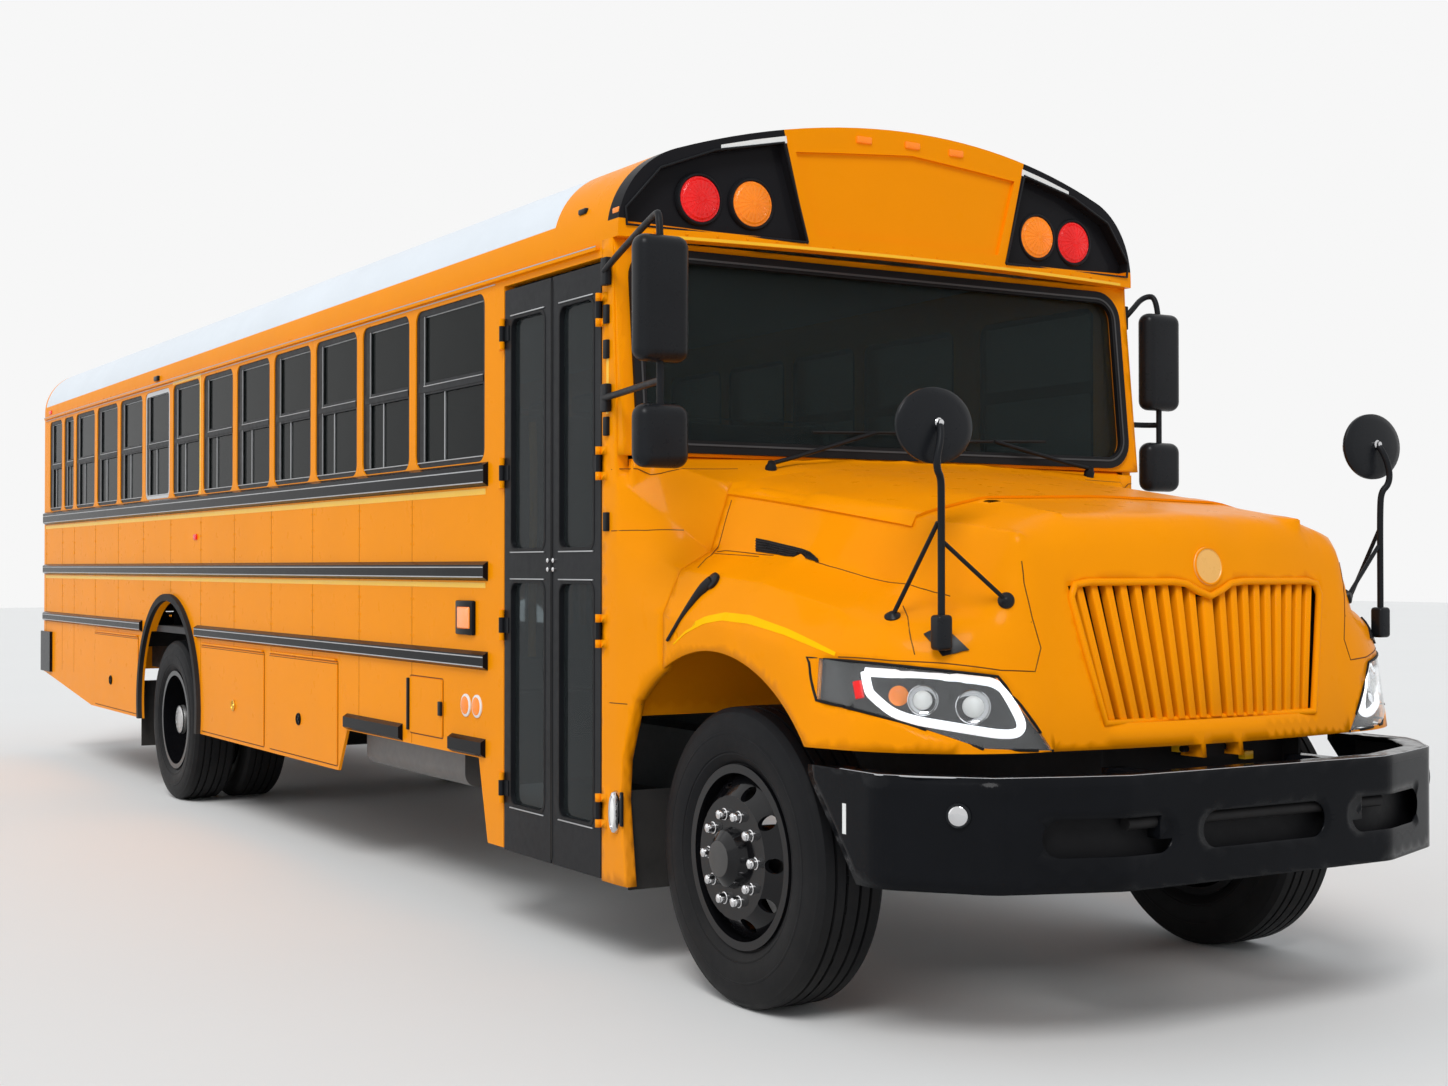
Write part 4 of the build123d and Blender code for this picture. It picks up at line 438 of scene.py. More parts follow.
for node_name, node in NODES.items():
    for holder in node.material_slots:
        holder.link = "DATA"
    node.data.materials.clear()
    node.data.materials.append(FINISH_OF[node_name])


# Ways of making pieces

WELD = 0.00002


def at(x, y, z):
    """A place in millimetres: across, behind the front axle, above the ground."""
    return Vector((x / 1000, back(y / 1000), z / 1000))


def alone(obj):
    """Make one object the whole selection."""
    bpy.ops.object.select_all(action="DESELECT")
    bpy.context.view_layer.objects.active = obj
    obj.select_set(True)


def editing(obj):
    """Edit one object with all of it selected."""
    alone(obj)
    bpy.ops.object.mode_set(mode="EDIT")
    bpy.ops.mesh.select_all(action="SELECT")


def pick_faces(obj, rule):
    """In edit mode, select only the faces whose middle and normal satisfy the rule."""
    bpy.ops.mesh.select_mode(type="FACE")
    bpy.ops.mesh.select_all(action="DESELECT")
    mesh = bmesh.from_edit_mesh(obj.data)
    for face in mesh.faces:
        if rule(face.calc_center_median(), face.normal):
            face.select_set(True)
    bmesh.update_edit_mesh(obj.data)


def finished(obj, name, material, body, smooth=32.0, heal=True):
    """Close the work on a piece: outward faces, its place in its mesh, name, finish and body."""
    if obj.mode != "EDIT":
        editing(obj)
    bpy.ops.mesh.select_all(action="SELECT")
    if heal:
        bpy.ops.mesh.remove_doubles(threshold=WELD)
        bpy.ops.mesh.normals_make_consistent(inside=False)
    bpy.ops.object.mode_set(mode="OBJECT")
    alone(obj)
    bpy.ops.object.transform_apply(location=True, rotation=True, scale=True)
    bpy.ops.object.shade_smooth_by_angle(angle=math.radians(smooth))
    obj.name = name
    obj.data.name = name
    obj.data.materials.clear()
    obj.data.materials.append(material)
    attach(obj, body)
    return obj


def placed_copy(obj, name, body, shift=(0, 0, 0), matrix=None):
    """A copy with its own mesh, moved in millimetres or changed by a matrix."""
    mesh = obj.data.copy()
    change = matrix if matrix is not None else Matrix.Translation(Vector(shift) / 1000)
    mesh.transform(change)
    if change.determinant() < 0:
        mesh.flip_normals()
    made = bpy.data.objects.new(name, mesh)
    bpy.context.scene.collection.objects.link(made)
    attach(made, body)
    return made


MIRRORED = Matrix.Scale(-1, 4, (1, 0, 0))


def mirrored(obj, name, body):
    """The other side's copy."""
    return placed_copy(obj, name, body, matrix=MIRRORED)


def joined(objects, name, body):
    """Several pieces made one."""
    bpy.ops.object.select_all(action="DESELECT")
    for obj in objects:
        obj.select_set(True)
    bpy.context.view_layer.objects.active = objects[0]
    bpy.ops.object.join()
    made = bpy.context.view_layer.objects.active
    made.name = name
    made.data.name = name
    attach(made, body)
    return made


def lathe(start, axis, profile, sides=32, closed=False):
    """Draw a circle out along an axis. Profile rows: distance from the start, radius, in millimetres."""
    bpy.ops.object.select_all(action="DESELECT")
    way = Vector(axis).normalized()
    first, radius = profile[0]
    bpy.ops.mesh.primitive_circle_add(
        vertices=sides, radius=radius / 1000, fill_type="NOTHING" if closed else "NGON",
        location=start + way * (first / 1000), rotation=way.to_track_quat("Z", "Y").to_euler(),
    )
    obj = bpy.context.object
    bpy.ops.object.mode_set(mode="EDIT")
    if closed:
        bpy.ops.mesh.select_mode(type="EDGE")
    bpy.ops.mesh.select_all(action="SELECT")
    reached = first
    for distance, wide in profile[1:]:
        step = way * ((distance - reached) / 1000)
        bpy.ops.mesh.extrude_region_move(TRANSFORM_OT_translate={"value": step})
        share = wide / radius
        bpy.ops.transform.resize(value=(share, share, share), center_override=start + way * (distance / 1000))
        reached, radius = distance, wide
    if closed:
        bpy.ops.mesh.select_mode(type="EDGE")
        bpy.ops.mesh.select_all(action="DESELECT")
        bpy.ops.mesh.select_non_manifold()
        bpy.ops.mesh.bridge_edge_loops()
    return obj


def turned(name, body, material, place, axis, profile, sides=32, smooth=35.0, closed=False):
    """A turned piece, finished."""
    return finished(lathe(place, axis, profile, sides, closed), name, material, body, smooth)


def turned_set(name, body, material, rows, sides, smooth=35.0):
    """Turned pieces joined in one. Rows: place, axis, profile."""
    parts = []
    for place, axis, profile in rows:
        parts.append(lathe(place, axis, profile, sides))
        bpy.ops.object.mode_set(mode="OBJECT")
    return finished(joined(parts, name, body), name, material, body, smooth)


def box_mm(x0, x1, y0, y1, z0, z1, round_edge=0.0, segments=2):
    """A block with eased edges, from millimetres across, behind the front axle and above the ground."""
    bpy.ops.object.select_all(action="DESELECT")
    low, high = at(x0, y0, z0), at(x1, y1, z1)
    heart = (low + high) / 2
    bpy.ops.mesh.primitive_cube_add(size=1.0, location=heart)
    obj = bpy.context.object
    bpy.ops.object.mode_set(mode="EDIT")
    bpy.ops.mesh.select_all(action="SELECT")
    size = [abs(high[i] - low[i]) for i in range(3)]
    bpy.ops.transform.resize(value=size, center_override=heart)
    if round_edge:
        bpy.ops.mesh.bevel(offset=round_edge / 1000, segments=segments, affect="EDGES")
    bpy.ops.object.mode_set(mode="OBJECT")
    return obj


def boxes(name, body, material, rows, round_edge=0.8, segments=1):
    """Eased blocks joined in one piece. Rows: x, x, y, y, z, z in millimetres."""
    parts = [box_mm(*row, round_edge=round_edge, segments=segments) for row in rows]
    return finished(joined(parts, name, body), name, material, body)


def both_sides(rows):
    """Rows of blocks and their mirror images."""
    return rows + [(-x1, -x0, *rest) for x0, x1, *rest in rows]


def flip(route):
    """A route on the other side of the bus."""
    return [(-x, y, z) for x, y, z in route]


def walled(obj, thick, offset=-1.0):
    """Give a sheet a wall. Thickness in millimetres."""
    alone(obj)
    wall = obj.modifiers.new("wall", "SOLIDIFY")
    wall.thickness = thick / 1000
    wall.offset = offset
    bpy.ops.object.modifier_apply(modifier="wall")


def ring_mm(width, height, corner, band, thick, segments=6):
    """A rounded frame about the origin in X and Z, facing -Y, in millimetres. No band makes a full plate."""
    bpy.ops.object.select_all(action="DESELECT")
    bpy.ops.mesh.primitive_plane_add(size=1.0, rotation=(math.radians(90), 0, 0))
    obj = bpy.context.object
    bpy.ops.object.mode_set(mode="EDIT")
    bpy.ops.mesh.select_all(action="SELECT")
    bpy.ops.transform.resize(value=(width / 1000, 1, height / 1000), center_override=(0, 0, 0))
    bpy.ops.mesh.bevel(offset=corner / 1000, segments=segments, affect="VERTICES")
    bpy.ops.mesh.select_all(action="SELECT")
    if band:
        bpy.ops.mesh.inset(thickness=band / 1000)
        bpy.ops.mesh.delete(type="FACE")
    bpy.ops.mesh.select_all(action="SELECT")
    bpy.ops.mesh.extrude_region_move(TRANSFORM_OT_translate={"value": (0, thick / 1000, 0)})
    return obj


def frame_piece(name, body, material, place, turn, *sizes):
    """A rounded frame or plate at a place, turned about the upright axis and leaned, in degrees."""
    obj = finished(ring_mm(*sizes), name, material, body)
    lean, heading = turn
    spot = Matrix.Translation(place) @ Matrix.Rotation(math.radians(heading), 4, "Z")
    obj.data.transform(spot @ Matrix.Rotation(math.radians(lean), 4, "X"))
    return obj


def tube(points, radius, sides=1, order=0, radii=None):
    """A round bar through places, as a mesh. Radius in millimetres; an order above 2 draws a smooth line."""
    bpy.ops.object.select_all(action="DESELECT")
    data = bpy.data.curves.new("bar", "CURVE")
    data.dimensions = "3D"
    data.bevel_depth = radius / 1000
    data.bevel_resolution = sides
    data.use_fill_caps = True
    data.resolution_u = 8
    line = data.splines.new("NURBS" if order else "POLY")
    line.points.add(len(points) - 1)
    for index, place in enumerate(points):
        line.points[index].co = (*place, 1.0)
        line.points[index].radius = radii[index] if radii else 1.0
    if order:
        line.order_u = order
        line.use_endpoint_u = True
    obj = bpy.data.objects.new("bar", data)
    bpy.context.scene.collection.objects.link(obj)
    alone(obj)
    bpy.ops.object.convert(target="MESH")
    return bpy.context.object


def bars(name, body, material, radius, routes, sides=2, order=0):
    """Round bars through places in millimetres, joined in one piece."""
    parts = [tube([at(*place) for place in route], radius, sides, order) for route in routes]
    return finished(joined(parts, name, body), name, material, body, 60.0)


def spread(places, step):
    """More places along a broken line, about one step apart."""
    made = []
    for first, second in zip(places[:-1], places[1:]):
        count = max(1, round((second - first).length / step))
        made += [first.lerp(second, index / count) for index in range(count)]
    return made + [places[-1]]


FACES_OF = {}


def search_tree(corners, mesh):
    """A search tree over a mesh's faces, its corners given."""
    return BVHTree.FromPolygons(corners, [tuple(face.vertices) for face in mesh.polygons])


def faces_of(node_name):
    """A search tree over a node's faces."""
    if node_name not in FACES_OF:
        node = NODES[node_name]
        corners = [node.matrix_world @ vertex.co for vertex in node.data.vertices]
        FACES_OF[node_name] = search_tree(corners, node.data)
    return FACES_OF[node_name]


SHARP_RIDGE = math.radians(75)
END_BAND = 0.03
TOP_BAND = 0.006
DIVISIONS = 7


def mesh_of(node_name):
    """A copy of a node's mesh, in world places."""
    source = NODES[node_name]
    mesh = source.data.copy()
    mesh.transform(source.matrix_world)
    return mesh


def smoothed(work, corners, rounds):
    """Even out some corners of a mesh under work."""
    axes = {"use_axis_x": True, "use_axis_y": True, "use_axis_z": True}
    for _ in range(rounds):
        bmesh.ops.smooth_vert(work, verts=corners, factor=0.5, **axes)


def softened(node_name, name, body, material, step, rounds):
    """A carried-over shell with its blunt ridges rounded off and its openings kept, in place of the node."""
    mesh = mesh_of(node_name)
    work = bmesh.new()
    work.from_mesh(mesh)
    bmesh.ops.remove_doubles(work, verts=work.verts[:], dist=WELD)
    for _ in range(DIVISIONS):
        wide = [edge for edge in work.edges if edge.calc_length() > step]
        bmesh.ops.subdivide_edges(work, edges=wide, cuts=1)
        bmesh.ops.triangulate(work, faces=work.faces[:])
    sharp = [edge for edge in work.edges if edge.calc_face_angle(math.pi) > SHARP_RIDGE]
    held = {corner for edge in sharp for corner in edge.verts}
    low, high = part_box(node_name)
    for corner in work.verts:
        _, y, z = corner.co
        if y < low.y + END_BAND or y > high.y - END_BAND or z > high.z - TOP_BAND:
            held.add(corner)
    free = [corner for corner in work.verts if corner not in held]
    smoothed(work, free, rounds)
    work.to_mesh(mesh)
    work.free()
    obj = bpy.data.objects.new(name, mesh)
    bpy.context.scene.collection.objects.link(obj)
    finished(obj, name, material, body, 48.0)
    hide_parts(node_name)
    FACES_OF[node_name] = search_tree([vertex.co for vertex in mesh.vertices], mesh)
    return obj


def snapped(node_name, place, lift=0.0):
    """The nearest place on a node's surface, lifted off it by some millimetres."""
    spot, normal, _, _ = faces_of(node_name).find_nearest(place)
    return spot + normal * (lift / 1000)


def seams(name, body, node_name, material, routes, radius=1.7):
    """Thin lines that lie on a node's surface. Routes in millimetres."""
    parts = []
    for route in routes:
        line = [snapped(node_name, place) for place in spread([at(*row) for row in route], 0.03)]
        parts.append(tube(line, radius, 1))
    return finished(joined(parts, name, body), name, material, body, 60.0)


def laid_panel(name, body, node_name, material, first_rail, second_rail, lift=1.0, thick=3.0, rows=3,
               columns=14):
    """A plate between two rails in millimetres, following a node's surface where one is named."""
    bpy.ops.object.select_all(action="DESELECT")
    rails = []
    for rail in (first_rail, second_rail):
        places = [at(*row) for row in rail]
        lengths = [0.0]
        for one, two in zip(places[:-1], places[1:]):
            lengths.append(lengths[-1] + (two - one).length)
        even = []
        for index in range(columns + 1):
            goal = lengths[-1] * index / columns
            span = max(k for k in range(len(places) - 1) if lengths[k] <= goal + 1e-9)
            share = (goal - lengths[span]) / (lengths[span + 1] - lengths[span])
            even.append(places[span].lerp(places[span + 1], share))
        rails.append(even)
    bpy.ops.mesh.primitive_grid_add(x_subdivisions=columns, y_subdivisions=rows, size=1.0)
    obj = bpy.context.object
    for vertex in obj.data.vertices:
        column = round((vertex.co.x + 0.5) * columns)
        share = vertex.co.y + 0.5
        place = rails[0][column].lerp(rails[1][column], share)
        vertex.co = snapped(node_name, place, lift) if node_name else place
    walled(obj, thick, 0.0)
    return finished(obj, name, material, body)


# Hood, cowl and bumper with rounded ridges
softened("hood", "hood_shell", "hood", body_paint, 0.05, 14)
softened("cowl", "cowl_shell", "chassis", body_paint, 0.06, 8)
softened("front_bumper", "bumper_channel", "chassis", black_gloss, 0.06, 2)

# Rear part of the hood's top. Columns: behind the front axle, height of the crown, ridge across, ridge height,
# shoulder across, shoulder height, seam across, seam height
HOOD_SECTIONS = [
    (-550.0, 1652.0, 515.0, 1640.0, 780.0, 1580.0, 840.0, 1370.0),
    (-100.0, 1722.0, 533.0, 1706.0, 880.0, 1650.0, 950.0, 1455.0),
    (370.0, 1785.0, 540.0, 1772.0, 930.0, 1715.0, 1010.0, 1485.0),
]
TOP_FRONT = -500.0
TOP_REAR = 368.0
TOP_COLUMNS = 36
TOP_ROWS = 40
TOP_SIDE = 0.16
LAID_BELOW = 1662.0
FREE_ABOVE = 1694.0
TOP_LIFT = 1.2
TOP_THICK = 8.0
TOP_ROUNDS = 6


def hood_section(y):
    """The half outline of the hood across, at a place behind the front axle."""
    first, second = HOOD_SECTIONS[:2] if y < HOOD_SECTIONS[1][0] else HOOD_SECTIONS[1:]
    share = (y - first[0]) / (second[0] - first[0])
    crown, *rest = [one + (two - one) * share for one, two in zip(first[1:], second[1:])]
    (ridge_x, ridge_z, shoulder_x, shoulder_z, seam_x, seam_z) = rest
    side_x = shoulder_x + (seam_x - shoulder_x) * TOP_SIDE
    side_z = shoulder_z + (seam_z - shoulder_z) * TOP_SIDE
    return [(0.0, crown), (ridge_x, ridge_z), (shoulder_x, shoulder_z), (side_x, side_z)]


def along_section(points, share):
    """A place along the half outline, by its share of the length."""
    lengths = [math.dist(one, two) for one, two in zip(points, points[1:])]
    goal = share * sum(lengths)
    for (x0, z0), (x1, z1), length in zip(points, points[1:], lengths):
        if goal <= length + 1e-6:
            return x0 + (x1 - x0) * goal / length, z0 + (z1 - z0) * goal / length
        goal -= length
    return points[-1]


def hood_top():
    """The panel over the rear of the hood, laid on the hood where that reaches up to it."""
    bpy.ops.object.select_all(action="DESELECT")
    bpy.ops.mesh.primitive_grid_add(x_subdivisions=TOP_COLUMNS, y_subdivisions=TOP_ROWS, size=1.0)
    panel = bpy.context.object
    work = bmesh.new()
    work.from_mesh(panel.data)
    free = []
    for corner in work.verts:
        y = TOP_FRONT + (TOP_REAR - TOP_FRONT) * (corner.co.x + 0.5)
        across = corner.co.y * 2
        inner = abs(corner.co.x) < 0.499 and abs(across) < 0.999
        x, z = along_section(hood_section(y), abs(across))
        place = at(math.copysign(x, across), y, z)
        share = min(1.0, max(0.0, (z - LAID_BELOW) / (FREE_ABOVE - LAID_BELOW)))
        corner.co = snapped("hood", place, TOP_LIFT).lerp(place, share)
        if inner and share > 0:
            free.append(corner)
    smoothed(work, free, TOP_ROUNDS)
    work.to_mesh(panel.data)
    work.free()
    walled(panel, TOP_THICK)
    finished(panel, "hood_top_panel", body_paint, "hood", 50.0)


hood_top()

# Wheels and tyres. Profile rows: distance along the axle from the tyre's middle, radius

BEAD_TO_SHOULDER = [
    (-105, 286.6), (-105, 303), (-113, 312), (-124, 328), (-126.5, 333), (-126, 339), (-129, 341),
    (-134, 362), (-136.8, 385), (-136, 398), (-137, 400), (-136.6, 405), (-135, 407), (-132.8, 435),
    (-127, 456), (-123.5, 462), (-122.5, 468), (-116, 476), (-103, 485.8),
]
TREAD_HALF = [
    (-71, 487.2), (-69.5, 475), (-61.5, 475), (-60, 487.6), (-31, 487.9), (-29.5, 475), (-21.5, 475),
    (-20, 488),
]
TYRE_SIDES = 96
SHOULDER_BAND = (0.073, 0.102)
NOTCH_RADIUS = 0.48


def ribbed_tyre():
    """One road tyre about the origin, its axle along X: five ribs, ringed sidewalls, notched shoulders."""
    half = BEAD_TO_SHOULDER + TREAD_HALF
    profile = half + [(-distance, radius) for distance, radius in reversed(half)]
    obj = lathe(Vector(), (1, 0, 0), profile, TYRE_SIDES, closed=True)

    def notch(place, normal):
        across = abs(place.z)
        turn = math.atan2(place.y, place.x) / math.tau * TYRE_SIDES
        reach = math.hypot(place.x, place.y)
        on_shoulder = SHOULDER_BAND[0] < across < SHOULDER_BAND[1] and reach > NOTCH_RADIUS
        return on_shoulder and math.floor(turn) % 3 == 0

    pick_faces(obj, notch)
    bpy.ops.mesh.inset(thickness=0.004, depth=-0.007, use_individual=True)
    return finished(obj, "tyre_pattern", tyre_rubber, "chassis", 28.0)


TYRE_X = 1012.5
TWIN_X = (1057.5, 737.5)
WHEELBASE = 6535.0
AXLE_Z = 488.0


def fit_tyres():
    """The six tyres in place of the carried-over ones."""
    pattern = ribbed_tyre()
    for side, label in SIDES:
        body = f"front_wheel_{label}"
        front = placed_copy(pattern, f"front_road_tyre_{label}", body, at(side * TYRE_X, 0, AXLE_Z) * 1000)
        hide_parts(f"front_tyre_{label}")
        twins = [
            placed_copy(pattern, f"twin_tyre_{label}_{index}", f"rear_wheels_{label}",
                        at(side * x, WHEELBASE, AXLE_Z) * 1000)
            for index, x in enumerate(TWIN_X)
        ]
        rear = joined(twins, f"twin_road_tyres_{label}", f"rear_wheels_{label}")
        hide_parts(f"rear_tyres_{label}")
    bpy.data.objects.remove(pattern)


fit_tyres()

NUT_CIRCLE = 143.0
NUTS = 10
NUT_PROFILE = [(-1, 20.5), (3, 20.5), (4.5, 17.4), (24, 17.0), (29, 12.5), (31, 5)]
HUB_BOLTS = 8
HUB_BOLT_PROFILE = [(-3, 6), (4, 6), (5, 4.5)]
# Columns: body, side, nut seat across, axle behind the front axle
WHEEL_NUTS = [
    ("front_wheel_right", -1, 1152.5, 0.0), ("front_wheel_left", 1, 1152.5, 0.0),
    ("rear_wheels_right", -1, 909.5, WHEELBASE), ("rear_wheels_left", 1, 909.5, WHEELBASE),
]
FRONT_HUB = [(1150, 92), (1172, 90), (1180, 72), (1196, 66), (1205, 58), (1207.5, 42), (1208, 12)]
REAR_HUB = [(905, 108), (940, 106), (952, 92), (1128, 89), (1142, 86), (1150, 74), (1151, 14)]
RIM_LIP = [(0, 297), (0.1, 300.5), (3, 300.5), (3.1, 297)]
RIM_LIP_OUT = 1172.0


def on_wheel(side, out, axle, radius, turn):
    """A place on a circle about an axle, at a share of a turn."""
    angle = math.tau * turn
    return at(side * out, axle + radius * math.cos(angle), AXLE_Z + radius * math.sin(angle))


def dress_wheels():
    """Nuts, a hub cap and its bolts on each wheel, and a lip on the rear rims."""
    for body, side, seat, axle in WHEEL_NUTS:
        axis = (side, 0, 0)
        nuts = [
            (on_wheel(side, seat, axle, NUT_CIRCLE, index / NUTS), axis, NUT_PROFILE) for index in range(NUTS)
        ]
        turned_set(f"{body}_nuts", body, chrome, nuts, 12, 40.0)
        profile, finish = (REAR_HUB, hub_bright) if axle else (FRONT_HUB, hub_grey)
        turned(f"{body}_hub_cap", body, finish, at(0, axle, AXLE_Z), axis, profile, 40)
        out, radius = (1149.0, 52.0) if axle else (1174.0, 78.0)
        bolts = [
            (on_wheel(side, out, axle, radius, (index + 0.5) / HUB_BOLTS), axis, HUB_BOLT_PROFILE)
            for index in range(HUB_BOLTS)
        ]
        turned_set(f"{body}_hub_bolts", body, aluminium, bolts, 6, 30.0)
        if axle:
            lip = lathe(at(side * RIM_LIP_OUT, axle, AXLE_Z), axis, RIM_LIP, 72, closed=True)
            finished(lip, f"{body}_rim_lip", rim_paint, body)


dress_wheels()

# Lamps with ringed and ribbed lenses

LENS_PROFILE = [
    (0, 84), (9, 84), (13, 82), (14, 76), (19, 69), (19.6, 62), (23, 54), (23.6, 47), (26, 39), (26.5, 31),
    (28, 22), (28.3, 8),
]
BEZEL_PROFILE = [(-2, 83), (-2, 98), (8, 97), (16, 92), (17, 87), (12, 83)]
LENS_SIDES = 40


def ribbed_lens(place, axis, name, material, body, scale=1.0):
    """A round moulded lens with rings, and prisms on every second sector."""
    profile = [(distance * scale, radius * scale) for distance, radius in LENS_PROFILE]
    obj = lathe(place, axis, profile, LENS_SIDES)

    def prism(spot, normal):
        turn = math.atan2(spot.y, spot.x) / math.tau * LENS_SIDES
        return abs(normal.z) > 0.3 and math.floor(turn) % 2 == 0 and math.hypot(spot.x, spot.y) > 0.012

    pick_faces(obj, prism)
    bpy.ops.mesh.inset(thickness=0.0008, depth=-0.0012, use_individual=True)
    return finished(obj, name, material, body, 24.0)


def bezel(place, axis, name, material, body, scale=1.0):
    """The ring round a lens."""
    profile = [(distance * scale, radius * scale) for distance, radius in BEZEL_PROFILE]
    return finished(lathe(place, axis, profile, LENS_SIDES, closed=True), name, material, body, 40.0)


# Columns: name, across, behind the front axle, height, direction, lens colour
WARNING_LAMPS = [
    ("front_inner", 678.0, 640.0, 2760.0, -1, "amber"), ("front_outer", 889.0, 661.0, 2760.0, -1, "red"),
    ("rear_inner", 700.0, 10134.5, 2690.0, 1, "amber"), ("rear_outer", 930.0, 10134.5, 2690.0, 1, "red"),
    ("rear_stop", 1080.0, 10134.5, 1330.0, 1, "red"), ("rear_turn", 1080.0, 10134.5, 1530.0, 1, "amber"),
]
REAR_SQUASH = Matrix.Diagonal((1, 0.544, 1, 1))


def fit_warning_lamps():
    """Flasher, stop and turn lamps in place of the plain ones."""
    for name, x, y, z, way, colour in WARNING_LAMPS:
        material = red_lens if colour == "red" else amber_lens
        for side, label in SIDES:
            place = at(side * x, y, z)
            axis = (0, way, 0)
            lens_obj = ribbed_lens(place, axis, f"{name}_lens_{label}", material, "chassis")
            ring = bezel(place, axis, f"{name}_bezel_{label}", black_satin, "chassis")
            if way > 0:
                squash = Matrix.Translation(place) @ REAR_SQUASH @ Matrix.Translation(-place)
                lens_obj.data.transform(squash)
                ring.data.transform(squash)
    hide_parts("body_lamps")


fit_warning_lamps()

# Front cap: markers, bright strips and tape over the windscreen


CAP_NOSE = 560.0
CAP_CURVE = 14981.0


def cap_face(x):
    """How far behind the front axle the cap's bowed front stands at this place across."""
    return CAP_NOSE + x * x / CAP_CURVE


# Rows: across, height
RECESS_RIM = [(471, 2628), (1188, 2642), (1192, 2702), (1062, 2853), (851, 2934), (572, 2989), (471, 2628)]
STRIP_LOW = [(826, 2936), (690, 2964), (558, 2988)]
STRIP_HIGH = [(826, 2956), (690, 2988), (562, 3014)]
CAP_MARKERS = [(-225.0, 3033.0), (-1.0, 3037.0), (211.0, 3032.0)]
CAP_RIVET = [(0, 6), (2, 5.5), (4, 2)]


def on_cap(rows, side=1, lift=0.0):
    """A route on the cap's front from places across and heights."""
    return [(side * x, cap_face(x) - lift, z) for x, z in rows]


def cap_details():
    """Marker lamps, pale strips, recess rims and rivets on the cap."""
    markers = [(x - 34, x + 34, y - 9, y + 26, z - 12, z + 14) for x, y, z in on_cap(CAP_MARKERS)]
    boxes("cap_markers", "chassis", amber_lens, markers, 5.0, 3)
    amber, dark = (-1214, -1196, 668, 716, 2684, 2706), (-1212, -1190, 930, 990, 2722, 2744)
    boxes("corner_marker_amber", "chassis", amber_lens, both_sides([amber]), 5.0, 3)
    boxes("corner_marker_dark", "chassis", moulded_black, both_sides([dark]), 7.0, 3)
    for side, label in SIDES:
        laid_panel(f"cap_pale_strip_{label}", "chassis", "front_cap", white_tape, on_cap(STRIP_LOW, side),
                   on_cap(STRIP_HIGH, side), 1.2, 2.0, 2, 10)
        bars(f"lamp_recess_rim_{label}", "chassis", black_satin, 5.0, [on_cap(RECESS_RIM, side, 2)])
    low, high = [on_cap([(x, z) for x in range(-1150, 1151, 100)], 1, 6) for z in (2602, 2613)]
    laid_panel("cap_lower_tape", "chassis", "front_cap", yellow_tape, low, high, 0.9, 1.2, 1, 46)
    rivets = [(at(x, cap_face(x) + 1, 2622), (0, -1, 0), CAP_RIVET) for x in range(-1080, 1081, 120)]
    turned_set("cap_rivets", "chassis", body_paint, rivets, 8, 40.0)


cap_details()

# Windscreen: gasket and wipers

SCREEN_LEAN = -5.886
SCREEN_MIDDLE = (0.0, 657.0, 2206.5)
# Columns: spindle, then across and height of the grip and of both ends of the blade
WIPERS = [
    ((-700, 470, 1784), (-150, 1938), (-430, 1930), (110, 1948)),
    ((893, 560, 1812), (430, 1925), (170, 1914), (700, 1934)),
]
SPINDLE_WAY = (0, -0.3, 0.95)
SPINDLE_PROFILE = [(-26, 21), (4, 21), (12, 16), (24, 14), (27, 6)]


def screen_depth(z):
    """How far behind the front axle the windscreen stands at a height."""
    return 620.0 + (z - 1824.0) * 80.0 / 776.0


def dress_screen():
    """Rubber gasket and the two wipers."""
    spot = at(*SCREEN_MIDDLE)
    frame_piece("screen_gasket", "chassis", gasket_rubber, spot + Vector((0, -0.012, 0)), (SCREEN_LEAN, 0),
                2330, 742, 118, 46, 20, 8)
    frame_piece("screen_gasket_lip", "chassis", rubber_edge, spot + Vector((0, -0.0145, 0)), (SCREEN_LEAN, 0),
                2276, 688, 96, 7, 8, 8)
    wiper_arms, blades = [], []
    for (px, py, pz), (mx, mz), *tips in WIPERS:
        ends = [(x, screen_depth(z) - 26, z) for x, z in tips]
        depth = screen_depth(mz) - 34
        elbow = (px + (mx - px) * 0.25, (py + depth) / 2 - 24, pz + (mz - pz) * 0.3)
        wiper_arms.append([(px, py - 6, pz + 16), elbow, (mx, depth, mz)])
        blades.append([ends[0], (mx, depth + 8, mz), ends[1]])
    bars("wiper_arms", "chassis", black_satin, 8.0, wiper_arms, 2)
    bars("wiper_blades", "chassis", rubber, 6.0, blades, 1)
    spindles = [(at(*row[0]), SPINDLE_WAY, SPINDLE_PROFILE) for row in WIPERS]
    turned_set("wiper_spindles", "chassis", black_satin, spindles, 20)


dress_screen()

# Side windows, rails, seams and tape on the body sides

SIDE = 1219.0
WINDOW_PITCH = 651.5
WINDOW_FIRST = 2608.0
PILLAR = 72.0
SILL = 1857.0
SASH = 2200.0
WINDOW_HEAD = 2540.0
FACE_OUT = 1213.0
PANE_OUT = 1201.0
FRAME_BAND = 26
LOWER_BAR = 0.37
# Windows. Columns: front edge, rear edge
MIDDLE_WINDOWS = [
    (WINDOW_FIRST + WINDOW_PITCH * k, WINDOW_FIRST + WINDOW_PITCH * (k + 1) - PILLAR) for k in range(10)
]
END_WINDOWS = [(1802.0, 2536.0), (9123.0, 9438.0), (9510.0, 9930.0)]


